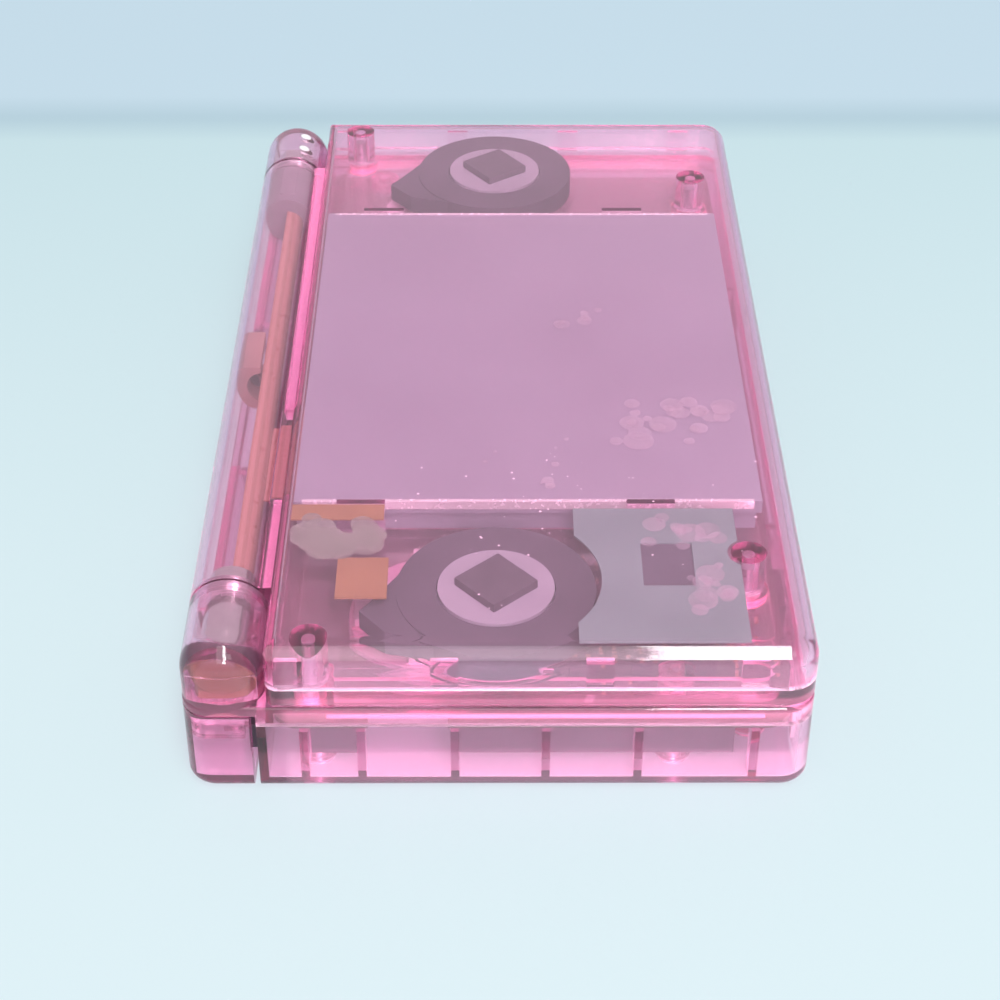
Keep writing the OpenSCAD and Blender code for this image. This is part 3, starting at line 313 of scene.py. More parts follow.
def cableFinish(name, s):
    mat, t = newMaterial(name)
    place = objectPlace(t)
    wave = addNode(t, "ShaderNodeTexWave", {"Scale": 1 / s["pitch"] / s["turn"], "Distortion": s["wander"]},
                   wave_type="BANDS", bands_direction="Y", wave_profile="SIN")
    join(t, place, wave.inputs["Vector"])
    p = addNode(t, "ShaderNodeBsdfPrincipled", {"Coat Weight": s["coat"], "Coat Roughness": s["coatRough"]})
    join(t, mottle(t, wave.outputs["Fac"], s["film"], s["copper"], s["stripeAt"]), p.inputs["Base Color"])
    join(t, spread(t, noise(t, place, s["fine"], "grain"), *s["rough"]), p.inputs["Roughness"])
    join(t, bump(t, wave.outputs["Fac"], *s["bump"]), p.inputs["Normal"])
    finish(t, p.outputs["BSDF"])
    return mat


# solder mask with lighter tracks
solderMask = {
    "mask": srgb(74, 86, 70), "track": srgb(94, 108, 86), "trackAt": (0.42, 0.5, 0.58), "cells": 420.0,
    "coat": 0.4, "coatRough": 0.2, "cloud": 60, "rough": (0.3, 0.5), "bump": (0.15, 0.00004),
}


def boardFinish(name, s):
    mat, t = newMaterial(name)
    place = objectPlace(t)
    cells = addNode(t, "ShaderNodeTexVoronoi", {"Scale": s["cells"]}, distance="MANHATTAN", feature="F2")
    join(t, place, cells.inputs["Vector"])
    p = addNode(t, "ShaderNodeBsdfPrincipled", {"Coat Weight": s["coat"], "Coat Roughness": s["coatRough"]})
    stops = list(zip(s["trackAt"], (s["mask"], s["track"], s["mask"])))
    join(t, ramp(t, cells.outputs["Distance"], stops), p.inputs["Base Color"])
    join(t, spread(t, noise(t, place, s["cloud"], "haze"), *s["rough"]), p.inputs["Roughness"])
    join(t, bump(t, cells.outputs["Distance"], *s["bump"]), p.inputs["Normal"])
    finish(t, p.outputs["BSDF"])
    return mat


# glass plate that lets the lamps through
clearGlass = {
    "tint": (0.97, 0.98, 0.985), "darker": 0.97, "ior": 1.49, "cloud": 80,
    "fine": 1200, "rough": (0.015, 0.045), "bump": (0.03, 0.0001),
}


def glassFinish(name, s):
    mat, t = newMaterial(name)
    place = objectPlace(t)
    p = addNode(t, "ShaderNodeBsdfPrincipled", {"Transmission Weight": 1.0, "IOR": s["ior"]})
    cloud = noise(t, place, s["cloud"], "haze")
    darker = tuple(c * s["darker"] for c in s["tint"])
    join(t, mottle(t, cloud, s["tint"], darker), p.inputs["Base Color"])
    join(t, spread(t, noise(t, place, s["fine"], "grain"), *s["rough"]), p.inputs["Roughness"])
    join(t, bump(t, cloud, *s["bump"]), p.inputs["Normal"])
    finish(t, passLamps(t, p.outputs["BSDF"], s["tint"]))
    return mat


# dark panel behind the glass: a lit area a shade lighter than its border, with fine rows of dots
darkPanel = {
    "border": srgb(30, 28, 34), "area": srgb(58, 60, 66), "margin": 3 * mm, "dots": 4000.0,
    "coat": 0.6, "coatRough": 0.1, "cloud": 40, "rough": (0.22, 0.27), "bump": (0.03, 0.00001),
}
lensLow, lensHigh = low("upper_lens"), high("upper_lens")


def screenFinish(name, s, centre):
    mat, t = newMaterial(name)
    place = objectPlace(t)
    axes = splitAxes(t, place)
    within = []
    for axis, middle, width in zip("XY", centre, lensHigh - lensLow):
        away = maths(t, "ABSOLUTE", maths(t, "SUBTRACT", axes[axis], middle))
        within.append(maths(t, "LESS_THAN", away, (width - s["margin"]) / 2))
    cells = addNode(t, "ShaderNodeTexVoronoi", {"Scale": s["dots"], "Randomness": 0.0})
    join(t, place, cells.inputs["Vector"])
    p = addNode(t, "ShaderNodeBsdfPrincipled", {"Coat Weight": s["coat"], "Coat Roughness": s["coatRough"]})
    inside = maths(t, "MULTIPLY", *within)
    join(t, mottle(t, inside, s["border"], s["area"], (0.0, 1.0)), p.inputs["Base Color"])
    join(t, spread(t, noise(t, place, s["cloud"], "grain"), *s["rough"]), p.inputs["Roughness"])
    join(t, bump(t, cells.outputs["Distance"], *s["bump"]), p.inputs["Normal"])
    finish(t, p.outputs["BSDF"])
    return mat


# thin whitish film, patchy, seen against what lies under it
filmLayer = {
    "cloud": 240, "cloudRough": 0.6, "lighter": 1.06, "shine": 0.1, "rough": (0.7, 0.9),
    "bump": (0.05, 0.00003), "thinnest": 0.5, "patchAt": (0.35, 0.6),
}


def filmFinish(name, colour, share, s):
    mat, t = newMaterial(name)
    cloud = noise(t, objectPlace(t), s["cloud"], "cloud", s["cloudRough"])
    p = addNode(t, "ShaderNodeBsdfPrincipled", {"Specular IOR Level": s["shine"]})
    lighter = tuple(min(1, c * s["lighter"]) for c in colour)
    join(t, mottle(t, cloud, colour, lighter), p.inputs["Base Color"])
    join(t, spread(t, cloud, *s["rough"]), p.inputs["Roughness"])
    join(t, bump(t, cloud, *s["bump"]), p.inputs["Normal"])
    clear = addNode(t, "ShaderNodeBsdfTransparent")
    cover = spread(t, cloud, share * s["thinnest"], share, *s["patchAt"])
    finish(t, blendShaders(t, clear.outputs["BSDF"], p.outputs["BSDF"], cover))
    return mat


# opaque finishes: full name, darker and lighter colour, and what differs from the usual
solids = {
    "plate": ("display back plate", (144, 142, 156), (151, 149, 163), {"rough": (0.42, 0.52), "scale": 45}),
    "tape": ("tan tape", (146, 112, 74), (156, 122, 82), {"rough": (0.4, 0.6), "scale": 200, "bumpBy": 0.3}),
    "rubberDark": ("dark rubber", (76, 72, 82), (88, 83, 94), {"rough": (0.6, 0.8)}),
    "padDark": ("dark foam pad", (74, 70, 78), (90, 86, 94),
                {"rough": (0.8, 0.95), "scale": 400, "bumpBy": 0.6}),
    "rubberPink": ("pink rubber", (226, 140, 176), (236, 152, 188), {"rough": (0.5, 0.7)}),
    "rubberGrey": ("grey rubber", (200, 200, 206), (214, 214, 220), {"rough": (0.5, 0.7)}),
    "rubberBrown": ("brown rubber", (150, 112, 110), (166, 126, 122), {"rough": (0.5, 0.7)}),
    "tanRubber": ("tan rubber", (140, 104, 70), (156, 118, 82), {"rough": (0.5, 0.7)}),
    "steel": ("satin steel", (186, 186, 192), (206, 206, 212), {"rough": (0.25, 0.4), "metal": 1.0}),
    "gold": ("gold contacts", (222, 184, 96), (236, 200, 116), {"rough": (0.2, 0.35), "metal": 1.0}),
    # painted highlight: the folded edge of the grey display plate is painted near white
    "edge": ("folded edge painted highlight", (236, 232, 236), (246, 242, 246), {"rough": (0.2, 0.3), "metal": 0.4}),
    "bright": ("bright metal", (214, 212, 210), (232, 230, 228), {"rough": (0.12, 0.22), "metal": 1.0}),
    "foil": ("aerial foil", (112, 138, 134), (124, 150, 146),
             {"rough": (0.4, 0.6), "scale": 90, "bumpBy": 0.25}),
    "grey": ("grey plastic", (128, 112, 124), (142, 126, 138), {"rough": (0.4, 0.55)}),
    # painted shade: a dark sheet that darkens the end wall where the board's shadow falls inside
    "paintedShade": ("dull painted shade sheet", (104, 94, 106), (116, 106, 118), {"rough": (0.45, 0.6), "scale": 70}),
    "chip": ("grey chip", (84, 84, 94), (98, 98, 108), {"rough": (0.4, 0.55)}),
    "black": ("black plastic", (46, 46, 52), (60, 60, 66), {"rough": (0.4, 0.55)}),
    "tan": ("tan ceramic", (176, 142, 108), (196, 162, 126), {"rough": (0.35, 0.5)}),
    "speaker": ("speaker metal", (150, 150, 160), (162, 162, 172), {"rough": (0.4, 0.5)}),
    "cloth": ("speaker cloth", (60, 54, 62), (84, 76, 86),
              {"rough": (0.7, 0.9), "scale": 600, "bumpBy": 0.8}),
    "white": ("button plastic", (236, 230, 236), (245, 241, 246), {"rough": (0.2, 0.3), "coat": 0.3}),
}
looks = {look: solidFinish(name, dark, light, **rest) for look, (name, dark, light, rest) in solids.items()}
looks.update({
    "shell": shellPlastic("shell pink plastic", shell),
    "panel": screenFinish("lower display panel", darkPanel, (low("touch_glass") + high("touch_glass")) / 2),
    "screen": screenFinish("upper display panel", darkPanel, (lensLow + lensHigh) / 2),
    "flex": cableFinish("orange flat cable", flatCable),
    "board": boardFinish("green board", solderMask),
    "glass": glassFinish("screen glass", clearGlass),
    "thinFilm": filmFinish("thin whitish film", srgb(206, 200, 208), 0.2, filmLayer),
    "film": filmFinish("whitish film", srgb(158, 166, 152), 0.42, filmLayer),
})
byNode = {
    "shell": "lid_cover lid_bezel base_upper base_lower battery_cover shoulder_left shoulder_right stylus",
    "plate": "upper_display",
    "panel": "lower_display",
    "flex": "display_flex",
    "tape": "tape_patch",
    "rubberDark": "speaker_boots",
    "padDark": "speaker_pads",
    "rubberPink": "lid_bumpers rubber_feet",
    "rubberGrey": "dpad_membrane button_membrane start_membrane",
    "rubberBrown": "microphone_boot",
    "steel": "lid_screws battery_cover_screw base_screws shoulder_pins shoulder_springs card_reader "
             "charge_socket wireless_module microphone",
    "bright": "hinge_tube hinge_cam",
    "foil": "antenna_foil",
    "chip": "antenna_chip",
    "grey": "hinge_cartridge",
    "black": "battery_pack cartridge_connector power_switch volume_switch headphone_jack "
             "shoulder_switches",
    "board": "main_board",
    "speaker": "speaker_left speaker_right",
    "white": "dpad button_a button_b button_x button_y start_button select_button power_slider volume_slider "
             "status_windows",
    "glass": "upper_lens touch_glass",
}
for look, names in byNode.items():
    for n in names.split():
        nodes[n].data.materials.clear()
        nodes[n].data.materials.append(looks[look])
print("finishes on the nodes")


def keep(name, mesh, look, body):
    mesh.materials.clear()
    mesh.materials.append(looks[look])
    obj = bpy.data.objects.new(name, mesh)
    bpy.context.scene.collection.objects.link(obj)
    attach(obj, body)


def meshFrom(bm, name):
    mesh = bpy.data.meshes.new(name)
    bm.to_mesh(mesh)
    bm.free()
    return mesh


def roundEdges(bm, edges, rounding, segments=2):
    bmesh.ops.bevel(bm, geom=edges, offset=rounding, segments=segments, affect="EDGES", profile=0.5)


# plate or strip with its edges rounded off
def softPlate(name, lowest, highest, rounding, look, body):
    bm = bmesh.new()
    bmesh.ops.create_cube(bm, size=1)
    size, middle = highest - lowest, (highest + lowest) / 2
    for v in bm.verts:
        v.co = Vector((v.co.x * size.x, v.co.y * size.y, v.co.z * size.z)) + middle
    roundEdges(bm, bm.edges[:], rounding)
    keep(name, meshFrom(bm, name), look, body)


displayLow, displayHigh = low("upper_display"), high("upper_display")

# the dark face of the upper panel, behind its glass
screenFace = {"inset": 0.2 * mm, "gap": 0.015 * mm, "rounding": 0.02 * mm}
faceInset = Vector((screenFace["inset"], screenFace["inset"], 0))
faceLow, faceHigh = lensLow + faceInset, lensHigh - faceInset
faceLow.z = lensHigh.z + screenFace["gap"]
faceHigh.z = displayLow.z - screenFace["gap"]
softPlate("upperScreenFace", faceLow, faceHigh, screenFace["rounding"], "screen", "lid")

# folded edges of the display's back, at both ends, painted near white: a painted highlight along the grey
# plate's edges
paintedHighlightEdge = {"width": 0.45 * mm, "proud": 0.06 * mm, "deep": 1.2 * mm, "ends": 1 * mm, "rounding": 0.05 * mm}
for side, x, sign in (("Near", displayLow.x, 1), ("Far", displayHigh.x, -1)):
    xs = sorted((x - sign * paintedHighlightEdge["proud"], x + sign * paintedHighlightEdge["width"]))
    softPlate("paintedHighlightEdge" + side,
              Vector((xs[0], displayLow.y + paintedHighlightEdge["ends"], displayHigh.z - paintedHighlightEdge["deep"])),
              Vector((xs[1], displayHigh.y - paintedHighlightEdge["ends"], displayHigh.z + paintedHighlightEdge["proud"])),
              paintedHighlightEdge["rounding"], "edge", "lid")
print("screens and plate edges")

# thin dark sheet behind the ribs of the left end wall, in two parts: painted shade that darkens the wall in
# front of the board
paintedShadeSheet = {
    "x": -62.82 * mm, "thick": 0.1 * mm, "bottom": 3.3 * mm, "top": low("main_board").z - 0.1 * mm,
    "parts": ((-28, 4.7), (16.7, 22.2)),  # from and to along Y, in mm
    "rounding": 0.03 * mm,
}
for i, (start, end) in enumerate(paintedShadeSheet["parts"]):
    softPlate("paintedShadeSheet%d" % i,
              Vector((paintedShadeSheet["x"] - paintedShadeSheet["thick"] / 2, start * mm, paintedShadeSheet["bottom"])),
              Vector((paintedShadeSheet["x"] + paintedShadeSheet["thick"] / 2, end * mm, paintedShadeSheet["top"])),
              paintedShadeSheet["rounding"], "paintedShade", "base")

# tan stop in the hollow of the left knuckle, in mm: a round pad with a tongue below it
knuckleStop = {
    "middle": (-63.4, 32.05, 16.4), "radius": 2.7, "thick": 1.1, "segments": 32, "rimRounding": 0.3,
    "tongue": (0.77, 4.4, 3.3), "tongueRounding": 0.15,  # the tongue hangs down from the pad's middle
}


def makeKnuckleStop(s):
    middle = Vector(s["middle"])
    bm = bmesh.new()
    turned = Matrix.Translation(middle) @ Matrix.Rotation(math.pi / 2, 4, "Y")
    bmesh.ops.create_cone(bm, cap_ends=True, segments=s["segments"], radius1=s["radius"], radius2=s["radius"],
                          depth=s["thick"], matrix=turned)
    rim = [e for e in bm.edges if len({round(v.co.x, 4) for v in e.verts}) == 1]
    roundEdges(bm, rim, s["rimRounding"], 3)
    bar = bmesh.ops.create_cube(bm, size=1)["verts"]
    size = Vector(s["tongue"])
    hang = Vector((0, 0, size.z / 2))
    for v in bar:
        v.co = v.co * size + middle - hang
    roundEdges(bm, [e for e in bm.edges if e.verts[0] in bar], s["tongueRounding"])
    bmesh.ops.scale(bm, vec=(mm, mm, mm), verts=bm.verts)
    keep("knuckleStop", meshFrom(bm, "knuckleStop"), "tanRubber", "base")


makeKnuckleStop(knuckleStop)

# bright lip under the deck's edge, inside the left end wall, in mm
deckLip = {"low": (-65.22, -31, 10.9), "high": (-64.96, 20, 11.4), "rounding": 0.08 * mm}
softPlate("deckLip", Vector(deckLip["low"]) * mm, Vector(deckLip["high"]) * mm, deckLip["rounding"],
          "rubberPink", "base")
print("painted shade sheet, knuckle stop and deck lip")


# Geometry Nodes: a tree with named inputs, grown once and kept as a plain mesh
def newTree(name, inputs):
    tree = bpy.data.node_groups.new(name, "GeometryNodeTree")
    tree.interface.new_socket("Geometry", in_out="OUTPUT", socket_type="NodeSocketGeometry")
    for label, kind in inputs.items():
        tree.interface.new_socket(label, in_out="INPUT", socket_type="NodeSocket" + kind)
    source = tree.nodes.new("NodeGroupInput")
    return tree, {s.name: s for s in source.outputs if s.name}


def closeTree(tree, geometry, look):
    real = tree.nodes.new("GeometryNodeRealizeInstances")
    paint = tree.nodes.new("GeometryNodeSetMaterial")
    paint.inputs["Material"].default_value = looks[look]
    out = tree.nodes.new("NodeGroupOutput")
    join(tree, geometry, real.inputs[0])
    join(tree, real.outputs[0], paint.inputs["Geometry"])
    join(tree, paint.outputs[0], out.inputs[0])
    return tree


# joins a node's sockets by name to what is given for them
def feed(tree, node, sources):
    for socket, source in sources.items():
        join(tree, source, node.inputs[socket])
    return node


def grow(name, tree, values, look, body):
    holder = bpy.data.objects.new(name + "Seed", bpy.data.meshes.new(name + "Seed"))
    bpy.context.scene.collection.objects.link(holder)
    mod = holder.modifiers.new("grow", "NODES")
    mod.node_group = tree
    for item in tree.interface.items_tree:
        if item.in_out == "INPUT" and item.name in values:
            mod[item.identifier] = values[item.name]
    graph = bpy.context.evaluated_depsgraph_get()
    mesh = bpy.data.meshes.new_from_object(holder.evaluated_get(graph))
    holder.modifiers.remove(mod)
    bpy.data.objects.remove(holder)
    mesh.name = name
    keep(name, mesh, look, body)


# small parts on a board: a grid of places, some of them filled, each with a box of random size
def partsTree(look):
    tree, given = newTree("parts " + look, {
        "Width": "Float", "Depth": "Float", "Columns": "Int", "Rows": "Int", "Middle": "Vector",
        "Smallest": "Vector", "Largest": "Vector", "Filled": "Float", "Seed": "Int", "Side": "Float"})
    grid = feed(tree, tree.nodes.new("GeometryNodeMeshGrid"), {
        "Size X": given["Width"], "Size Y": given["Depth"],
        "Vertices X": given["Columns"], "Vertices Y": given["Rows"]})
    place = feed(tree, tree.nodes.new("GeometryNodeTransform"), {
        "Geometry": grid.outputs["Mesh"], "Translation": given["Middle"]})
    chance = feed(tree, addNode(tree, "FunctionNodeRandomValue", data_type="BOOLEAN"), {
        "Probability": given["Filled"], "Seed": given["Seed"]})
    size = feed(tree, addNode(tree, "FunctionNodeRandomValue", data_type="FLOAT_VECTOR"), {
        "Min": given["Smallest"], "Max": given["Largest"], "Seed": given["Seed"]})
    # each box stands on its face of the board by half its own height
    lift = tree.nodes.new("ShaderNodeCombineXYZ")
    height = splitAxes(tree, size.outputs[0])["Z"]
    join(tree, maths(tree, "MULTIPLY", height, given["Side"]), lift.inputs["Z"])
    shift = feed(tree, tree.nodes.new("GeometryNodeSetPosition"), {
        "Geometry": place.outputs["Geometry"], "Offset": lift.outputs[0]})
    box = addNode(tree, "GeometryNodeMeshCube", {"Size": (1, 1, 1)})
    # a random yes or no comes out at socket 3
    put = feed(tree, tree.nodes.new("GeometryNodeInstanceOnPoints"), {
        "Points": shift.outputs["Geometry"], "Selection": chance.outputs[3],
        "Instance": box.outputs["Mesh"], "Scale": size.outputs[0]})
    return closeTree(tree, put.outputs["Instances"], look)


# a row of equal pins
def pinTree(look):
    tree, given = newTree("pins " + look, {
        "Count": "Int", "Start": "Vector", "Step": "Vector", "Size": "Vector"})
    line = feed(tree, addNode(tree, "GeometryNodeMeshLine", mode="OFFSET"), {
        "Count": given["Count"], "Start Location": given["Start"], "Offset": given["Step"]})
    box = feed(tree, tree.nodes.new("GeometryNodeMeshCube"), {"Size": given["Size"]})
    put = feed(tree, tree.nodes.new("GeometryNodeInstanceOnPoints"), {
        "Points": line.outputs["Mesh"], "Instance": box.outputs["Mesh"]})
    return closeTree(tree, put.outputs["Instances"], look)


boardFaces = {
    "under": {"z": low("main_board").z, "side": -0.5},
    "over": {"z": high("main_board").z, "side": 0.5},
}
# free patches of the board: face, x range, y range, in mm
patches = [
    ("under", (-62, -54.5), (-16, 12)), ("under", (-51, -33), (-20, -3)),
    ("over", (-61, -37), (-33, -8)), ("over", (37, 61), (-33, -27)),
]
# kinds of part, in mm
boardParts = {
    "Chips": {"smallest": (1.6, 1.6, 0.5), "largest": (4.2, 4.2, 1.0), "pitch": 6.2, "filled": 0.6,
              "look": "black", "aside": (0, 0), "seed": 7},
    "Caps": {"smallest": (0.4, 0.3, 0.25), "largest": (1.1, 0.6, 0.6), "pitch": 1.5, "filled": 0.45,
             "look": "tan", "aside": (0.9, -0.7), "seed": 8},
}
patchEdge = 0.7  # share of a pitch that a patch keeps free, both edges together
seedStep = 5
partTrees = {kind: partsTree(s["look"]) for kind, s in boardParts.items()}
for i, (face, xs, ys) in enumerate(patches):
    for kind, s in boardParts.items():
        wide, deep = (end - start - s["pitch"] * patchEdge for start, end in (xs, ys))
        columns, rows = (max(1, int(length / s["pitch"])) + 1 for length in (wide, deep))
        middle = Vector((sum(xs) / 2 * mm, sum(ys) / 2 * mm, boardFaces[face]["z"]))
        grow("board" + kind + str(i), partTrees[kind], {
            "Width": wide * mm, "Depth": deep * mm, "Columns": columns, "Rows": rows,
            "Middle": middle + Vector((*s["aside"], 0)) * mm,
            "Smallest": Vector(s["smallest"]) * mm, "Largest": Vector(s["largest"]) * mm,
            "Filled": s["filled"], "Seed": s["seed"] + seedStep * i, "Side": boardFaces[face]["side"]},
            s["look"], "base")

goldPins = pinTree("gold")


# a row of gold contacts along X, around a middle
def growPins(name, s, middle):
    half = s["pitch"] * mm * (s["count"] - 1) / 2
    grow(name, goldPins, {
        "Count": s["count"], "Size": Vector(s["size"]) * mm, "Step": Vector((s["pitch"] * mm, 0, 0)),
        "Start": middle - Vector((half, 0, 0))}, "gold", "base")


cartridgePins = {"count": 32, "pitch": 1.25, "size": (0.5, 2.2, 0.12), "back": 1.3, "up": 1.96}
socketLow = low("cartridge_connector")
growPins("cartridgePins", cartridgePins,
         Vector((0, socketLow.y + cartridgePins["back"] * mm, socketLow.z + cartridgePins["up"] * mm)))

batteryContacts = {"count": 3, "pitch": 3, "size": (1.2, 0.3, 1.6), "front": 0.8, "up": 2.9}
batteryLow, batteryHigh = low("battery_pack"), high("battery_pack")
growPins("batteryContacts", batteryContacts,
         Vector(((batteryLow.x + batteryHigh.x) / 2, batteryHigh.y - batteryContacts["front"] * mm,
                 batteryLow.z + batteryContacts["up"] * mm)))
print("board parts and contacts")


# thin round spots gathered around a middle
spot = {
    "reach": 0.25,          # each of two draws goes this share of the width either way
    "secondDraw": 31.0,     # what is added to the seed for the second draw
    "sides": 18,
    "share": (0.35, 1.5),   # smallest and largest share of the radius
}


def speckTree(look, s):
    tree, given = newTree("specks " + look, {
        "Width": "Float", "Depth": "Float", "Height": "Float", "Middle": "Vector", "Count": "Int",
        "Radius": "Float", "Thick": "Float", "Seed": "Int"})
    spots = feed(tree, tree.nodes.new("GeometryNodePoints"), {"Count": given["Count"]})
    reach = feed(tree, tree.nodes.new("ShaderNodeCombineXYZ"), {
        "X": given["Width"], "Y": given["Depth"], "Z": given["Height"]})
    # two draws added together gather the spots around the middle
    draws = []
    for turn in (0, 1):
        seed = maths(tree, "ADD", given["Seed"], s["secondDraw"] * turn)
        draw = addNode(tree, "FunctionNodeRandomValue", data_type="FLOAT_VECTOR")
        join(tree, seed, draw.inputs["Seed"])
        draw.inputs["Min"].default_value = (-s["reach"],) * 3
        draw.inputs["Max"].default_value = (s["reach"],) * 3
        draws.append(draw.outputs[0])
    both = feed(tree, addNode(tree, "ShaderNodeVectorMath", operation="ADD"), dict(enumerate(draws)))
    scaled = feed(tree, addNode(tree, "ShaderNodeVectorMath", operation="MULTIPLY_ADD"), {
        0: both.outputs[0], 1: reach.outputs[0], 2: given["Middle"]})
    join(tree, scaled.outputs[0], spots.inputs["Position"])
    disc = feed(tree, addNode(tree, "GeometryNodeMeshCylinder", {"Vertices": s["sides"]}), {
        "Radius": given["Radius"], "Depth": given["Thick"]})
    # a plain random number has its limits at sockets 2 and 3 and comes out at 1
    share = addNode(tree, "FunctionNodeRandomValue", data_type="FLOAT")
    share.inputs[2].default_value, share.inputs[3].default_value = s["share"]
    join(tree, given["Seed"], share.inputs["Seed"])
    wide = addNode(tree, "ShaderNodeCombineXYZ", {"Z": 1})
    feed(tree, wide, {"X": share.outputs[1], "Y": share.outputs[1]})
    put = feed(tree, tree.nodes.new("GeometryNodeInstanceOnPoints"), {
        "Points": spots.outputs[0], "Instance": disc.outputs["Mesh"], "Scale": wide.outputs[0]})
    return closeTree(tree, put.outputs["Instances"], look)


# fine white specks under the lid's roof, in mm: dust, and painted glints
roofThick = 1.2
roofUnder = high("lid_cover").z - roofThick * mm
specks = {
    "count": 60, "radius": 0.12, "thick": 0.01, "middle": (-42, -6), "width": 40, "depth": 66, "under": 0.05,
    "seed": 11,
}
grow("roofDustAndGlints", speckTree("white", spot), {
    "Width": specks["width"] * mm, "Depth": specks["depth"] * mm, "Height": 0.0, "Count": specks["count"],
    "Radius": specks["radius"] * mm, "Thick": specks["thick"] * mm, "Seed": specks["seed"],
    "Middle": Vector((specks["middle"][0] * mm, specks["middle"][1] * mm, roofUnder - specks["under"] * mm))},
    "white", "lid")

# blots of film in the slit between the aerial foil and the roof, each a crowd of spots
filmBlots = {
    "slit": roofUnder - high("antenna_foil").z,
    "crowd": 0.5,    # share of the slit that their middles keep within
    "thick": 0.15,   # share of the slit
    "seed": 3,
    # look, middle, width, depth in mm, count, radius
    "places": [
        ("film", (-44.5, 19), 9, 16, 26, 1.5), ("thinFilm", (-19, -21), 12, 13, 16, 1.4),
        ("thinFilm", (-16.5, -28), 7, 6, 7, 1.2), ("thinFilm", (-43, -23), 7, 13, 12, 1.3),
        ("thinFilm", (-55, -25), 12, 6, 12, 1.2), ("thinFilm", (6, -12), 7, 9, 6, 0.8),
        ("thinFilm", (-27, -6), 18, 26, 10, 0.6),
    ],
}
filmTrees = {look: speckTree(look, spot) for look in ("film", "thinFilm")}
slit = filmBlots["slit"]
for i, (look, middle, width, depth, count, radius) in enumerate(filmBlots["places"]):
    grow("filmBlot%d" % i, filmTrees[look], {
        "Width": width * mm, "Depth": depth * mm, "Height": slit * filmBlots["crowd"], "Count": count,
        "Radius": radius * mm, "Thick": slit * filmBlots["thick"], "Seed": filmBlots["seed"] + i,
        "Middle": Vector((middle[0] * mm, middle[1] * mm, roofUnder - slit / 2))}, look, "lid")
print("specks and film")

# cloth behind the sound holes
cloth = {"radius": 7.2 * mm, "thick": 0.12 * mm, "segments": 48, "up": 0.1 * mm}
for side in ("left", "right"):
    middle = (low("speaker_" + side) + high("speaker_" + side)) / 2
    middle.z = displayLow.z + cloth["up"]
    bm = bmesh.new()
    bmesh.ops.create_cone(bm, cap_ends=True, segments=cloth["segments"], radius1=cloth["radius"],
                          radius2=cloth["radius"], depth=cloth["thick"], matrix=Matrix.Translation(middle))
    name = "speakerCloth" + side.capitalize()
    keep(name, meshFrom(bm, name), "cloth", "lid")
print("speaker cloth")


backdrop = {
    "half": 14.0,
    "near": srgb(219, 234, 239), "middle": srgb(212, 231, 236), "far": srgb(199, 223, 229),
    "line": srgb(180, 205, 217), "beyond": srgb(196, 218, 231),
    "shadeFrom": -0.2, "shadeTo": 0.3, "middleAt": -0.03,
    "lineAt": 0.1096, "lineWidth": 0.0045,
    "rough": 0.6, "fine": 300, "bump": (0.05, 0.0001),
    "seen": 0.72,         # how much of the floor's own colour reaches the eye without its shading
    "seenThrough": 0.28,  # and as much of it through the clear shell
}


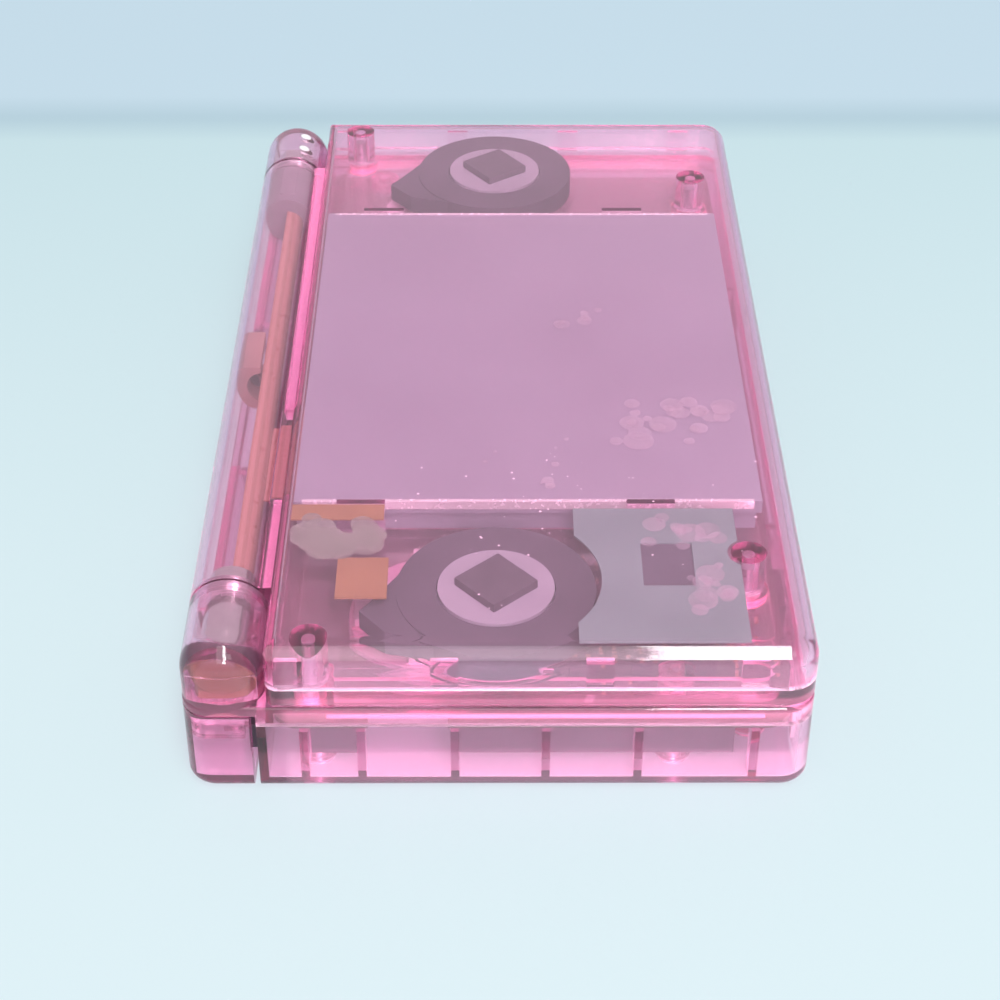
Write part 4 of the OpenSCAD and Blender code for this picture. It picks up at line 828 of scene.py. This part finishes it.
def makeFloor(s):
    mesh = bpy.data.meshes.new("floor")
    r = s["half"]
    mesh.from_pydata([(-r, -r, 0), (r, -r, 0), (r, r, 0), (-r, r, 0)], [], [(0, 1, 2, 3)])
    obj = bpy.data.objects.new("floor", mesh)
    bpy.context.scene.collection.objects.link(obj)
    mat, t = newMaterial("pale floor")
    place = objectPlace(t)
    x = spread(t, splitAxes(t, place)["X"], 0, 1, s["shadeFrom"], s["shadeTo"])

    def at(metres):
        return (metres - s["shadeFrom"]) / (s["shadeTo"] - s["shadeFrom"])
    line, wide = s["lineAt"], s["lineWidth"] * 2
    colour = ramp(t, x, [(0.0, s["near"]), (at(s["middleAt"]), s["middle"]), (at(line - wide), s["far"]),
                         (at(line), s["line"]), (at(line + wide), s["beyond"]), (1.0, s["beyond"])])
    p = addNode(t, "ShaderNodeBsdfPrincipled", {"Roughness": s["rough"]})
    join(t, colour, p.inputs["Base Color"])
    join(t, bump(t, noise(t, place, s["fine"], "grain"), *s["bump"]), p.inputs["Normal"])
    glow = addNode(t, "ShaderNodeEmission")
    join(t, colour, glow.inputs["Color"])
    rays = addNode(t, "ShaderNodeLightPath").outputs
    share = maths(t, "MULTIPLY", rays["Is Camera Ray"], s["seen"])
    for ray in ("Is Glossy Ray", "Is Transmission Ray"):
        share = maths(t, "MAXIMUM", share, maths(t, "MULTIPLY", rays[ray], s["seenThrough"]))
    finish(t, blendShaders(t, p.outputs["BSDF"], glow.outputs["Emission"], share))
    mesh.materials.append(mat)


makeFloor(backdrop)

# soft light of the room around the object
roomLight = {"colour": (0.95, 0.975, 1.0), "strength": 0.6}


def makeRoom(s):
    room = bpy.data.worlds.new("room")
    bpy.context.scene.world = room
    room.use_nodes = True
    air = room.node_tree
    soft = air.nodes["Background"]
    soft.inputs["Color"].default_value = (*s["colour"], 1)
    soft.inputs["Strength"].default_value = s["strength"]
    # past the floor's edge the eye sees the floor's far colour
    seen = addNode(air, "ShaderNodeBackground", {"Color": (*backdrop["beyond"], 1), "Strength": 1.0})
    eye = addNode(air, "ShaderNodeLightPath").outputs["Is Camera Ray"]
    both = blendShaders(air, soft.outputs["Background"], seen.outputs["Background"], eye)
    join(air, both, air.nodes["World Output"].inputs["Surface"])


makeRoom(roomLight)

# two long soft boxes lean over the left end, and a small one stands beside them: metres and watts
lamps = {
    "topLight": {"place": (-0.62, -0.15, 0.75), "target": (-0.08, -0.15, 0.02),
                 "size": (0.12, 1.1), "power": 7.6},
    "sideLight": {"place": (-0.62, 0.05, 0.75), "target": (-0.08, 0.05, 0.02),
                  "size": (0.28, 1.1), "power": 2.0},
    "edgeLight": {"place": (-0.62, -0.25, 0.62), "target": (0, 0, 0.02),
                  "size": (0.3, 0.3), "power": 0.7},
}


def makeLight(name, s):
    data = bpy.data.lights.new(name, "AREA")
    data.shape = "RECTANGLE"
    data.size, data.size_y = s["size"]
    data.energy = s["power"]
    obj = bpy.data.objects.new(name, data)
    bpy.context.scene.collection.objects.link(obj)
    ahead = (Vector(s["target"]) - Vector(s["place"])).normalized()
    obj.matrix_world = Matrix.Translation(s["place"]) @ ahead.to_track_quat("-Z", "Y").to_matrix().to_4x4()


for name, s in lamps.items():
    makeLight(name, s)

bpy.context.scene.view_settings.view_transform = "Standard"
lightBounces = 24  # enough for light to cross the clear walls of both halves and come back
cycles = bpy.context.scene.cycles
cycles.max_bounces = lightBounces
cycles.transmission_bounces = lightBounces
cycles.transparent_max_bounces = lightBounces
print("light set")
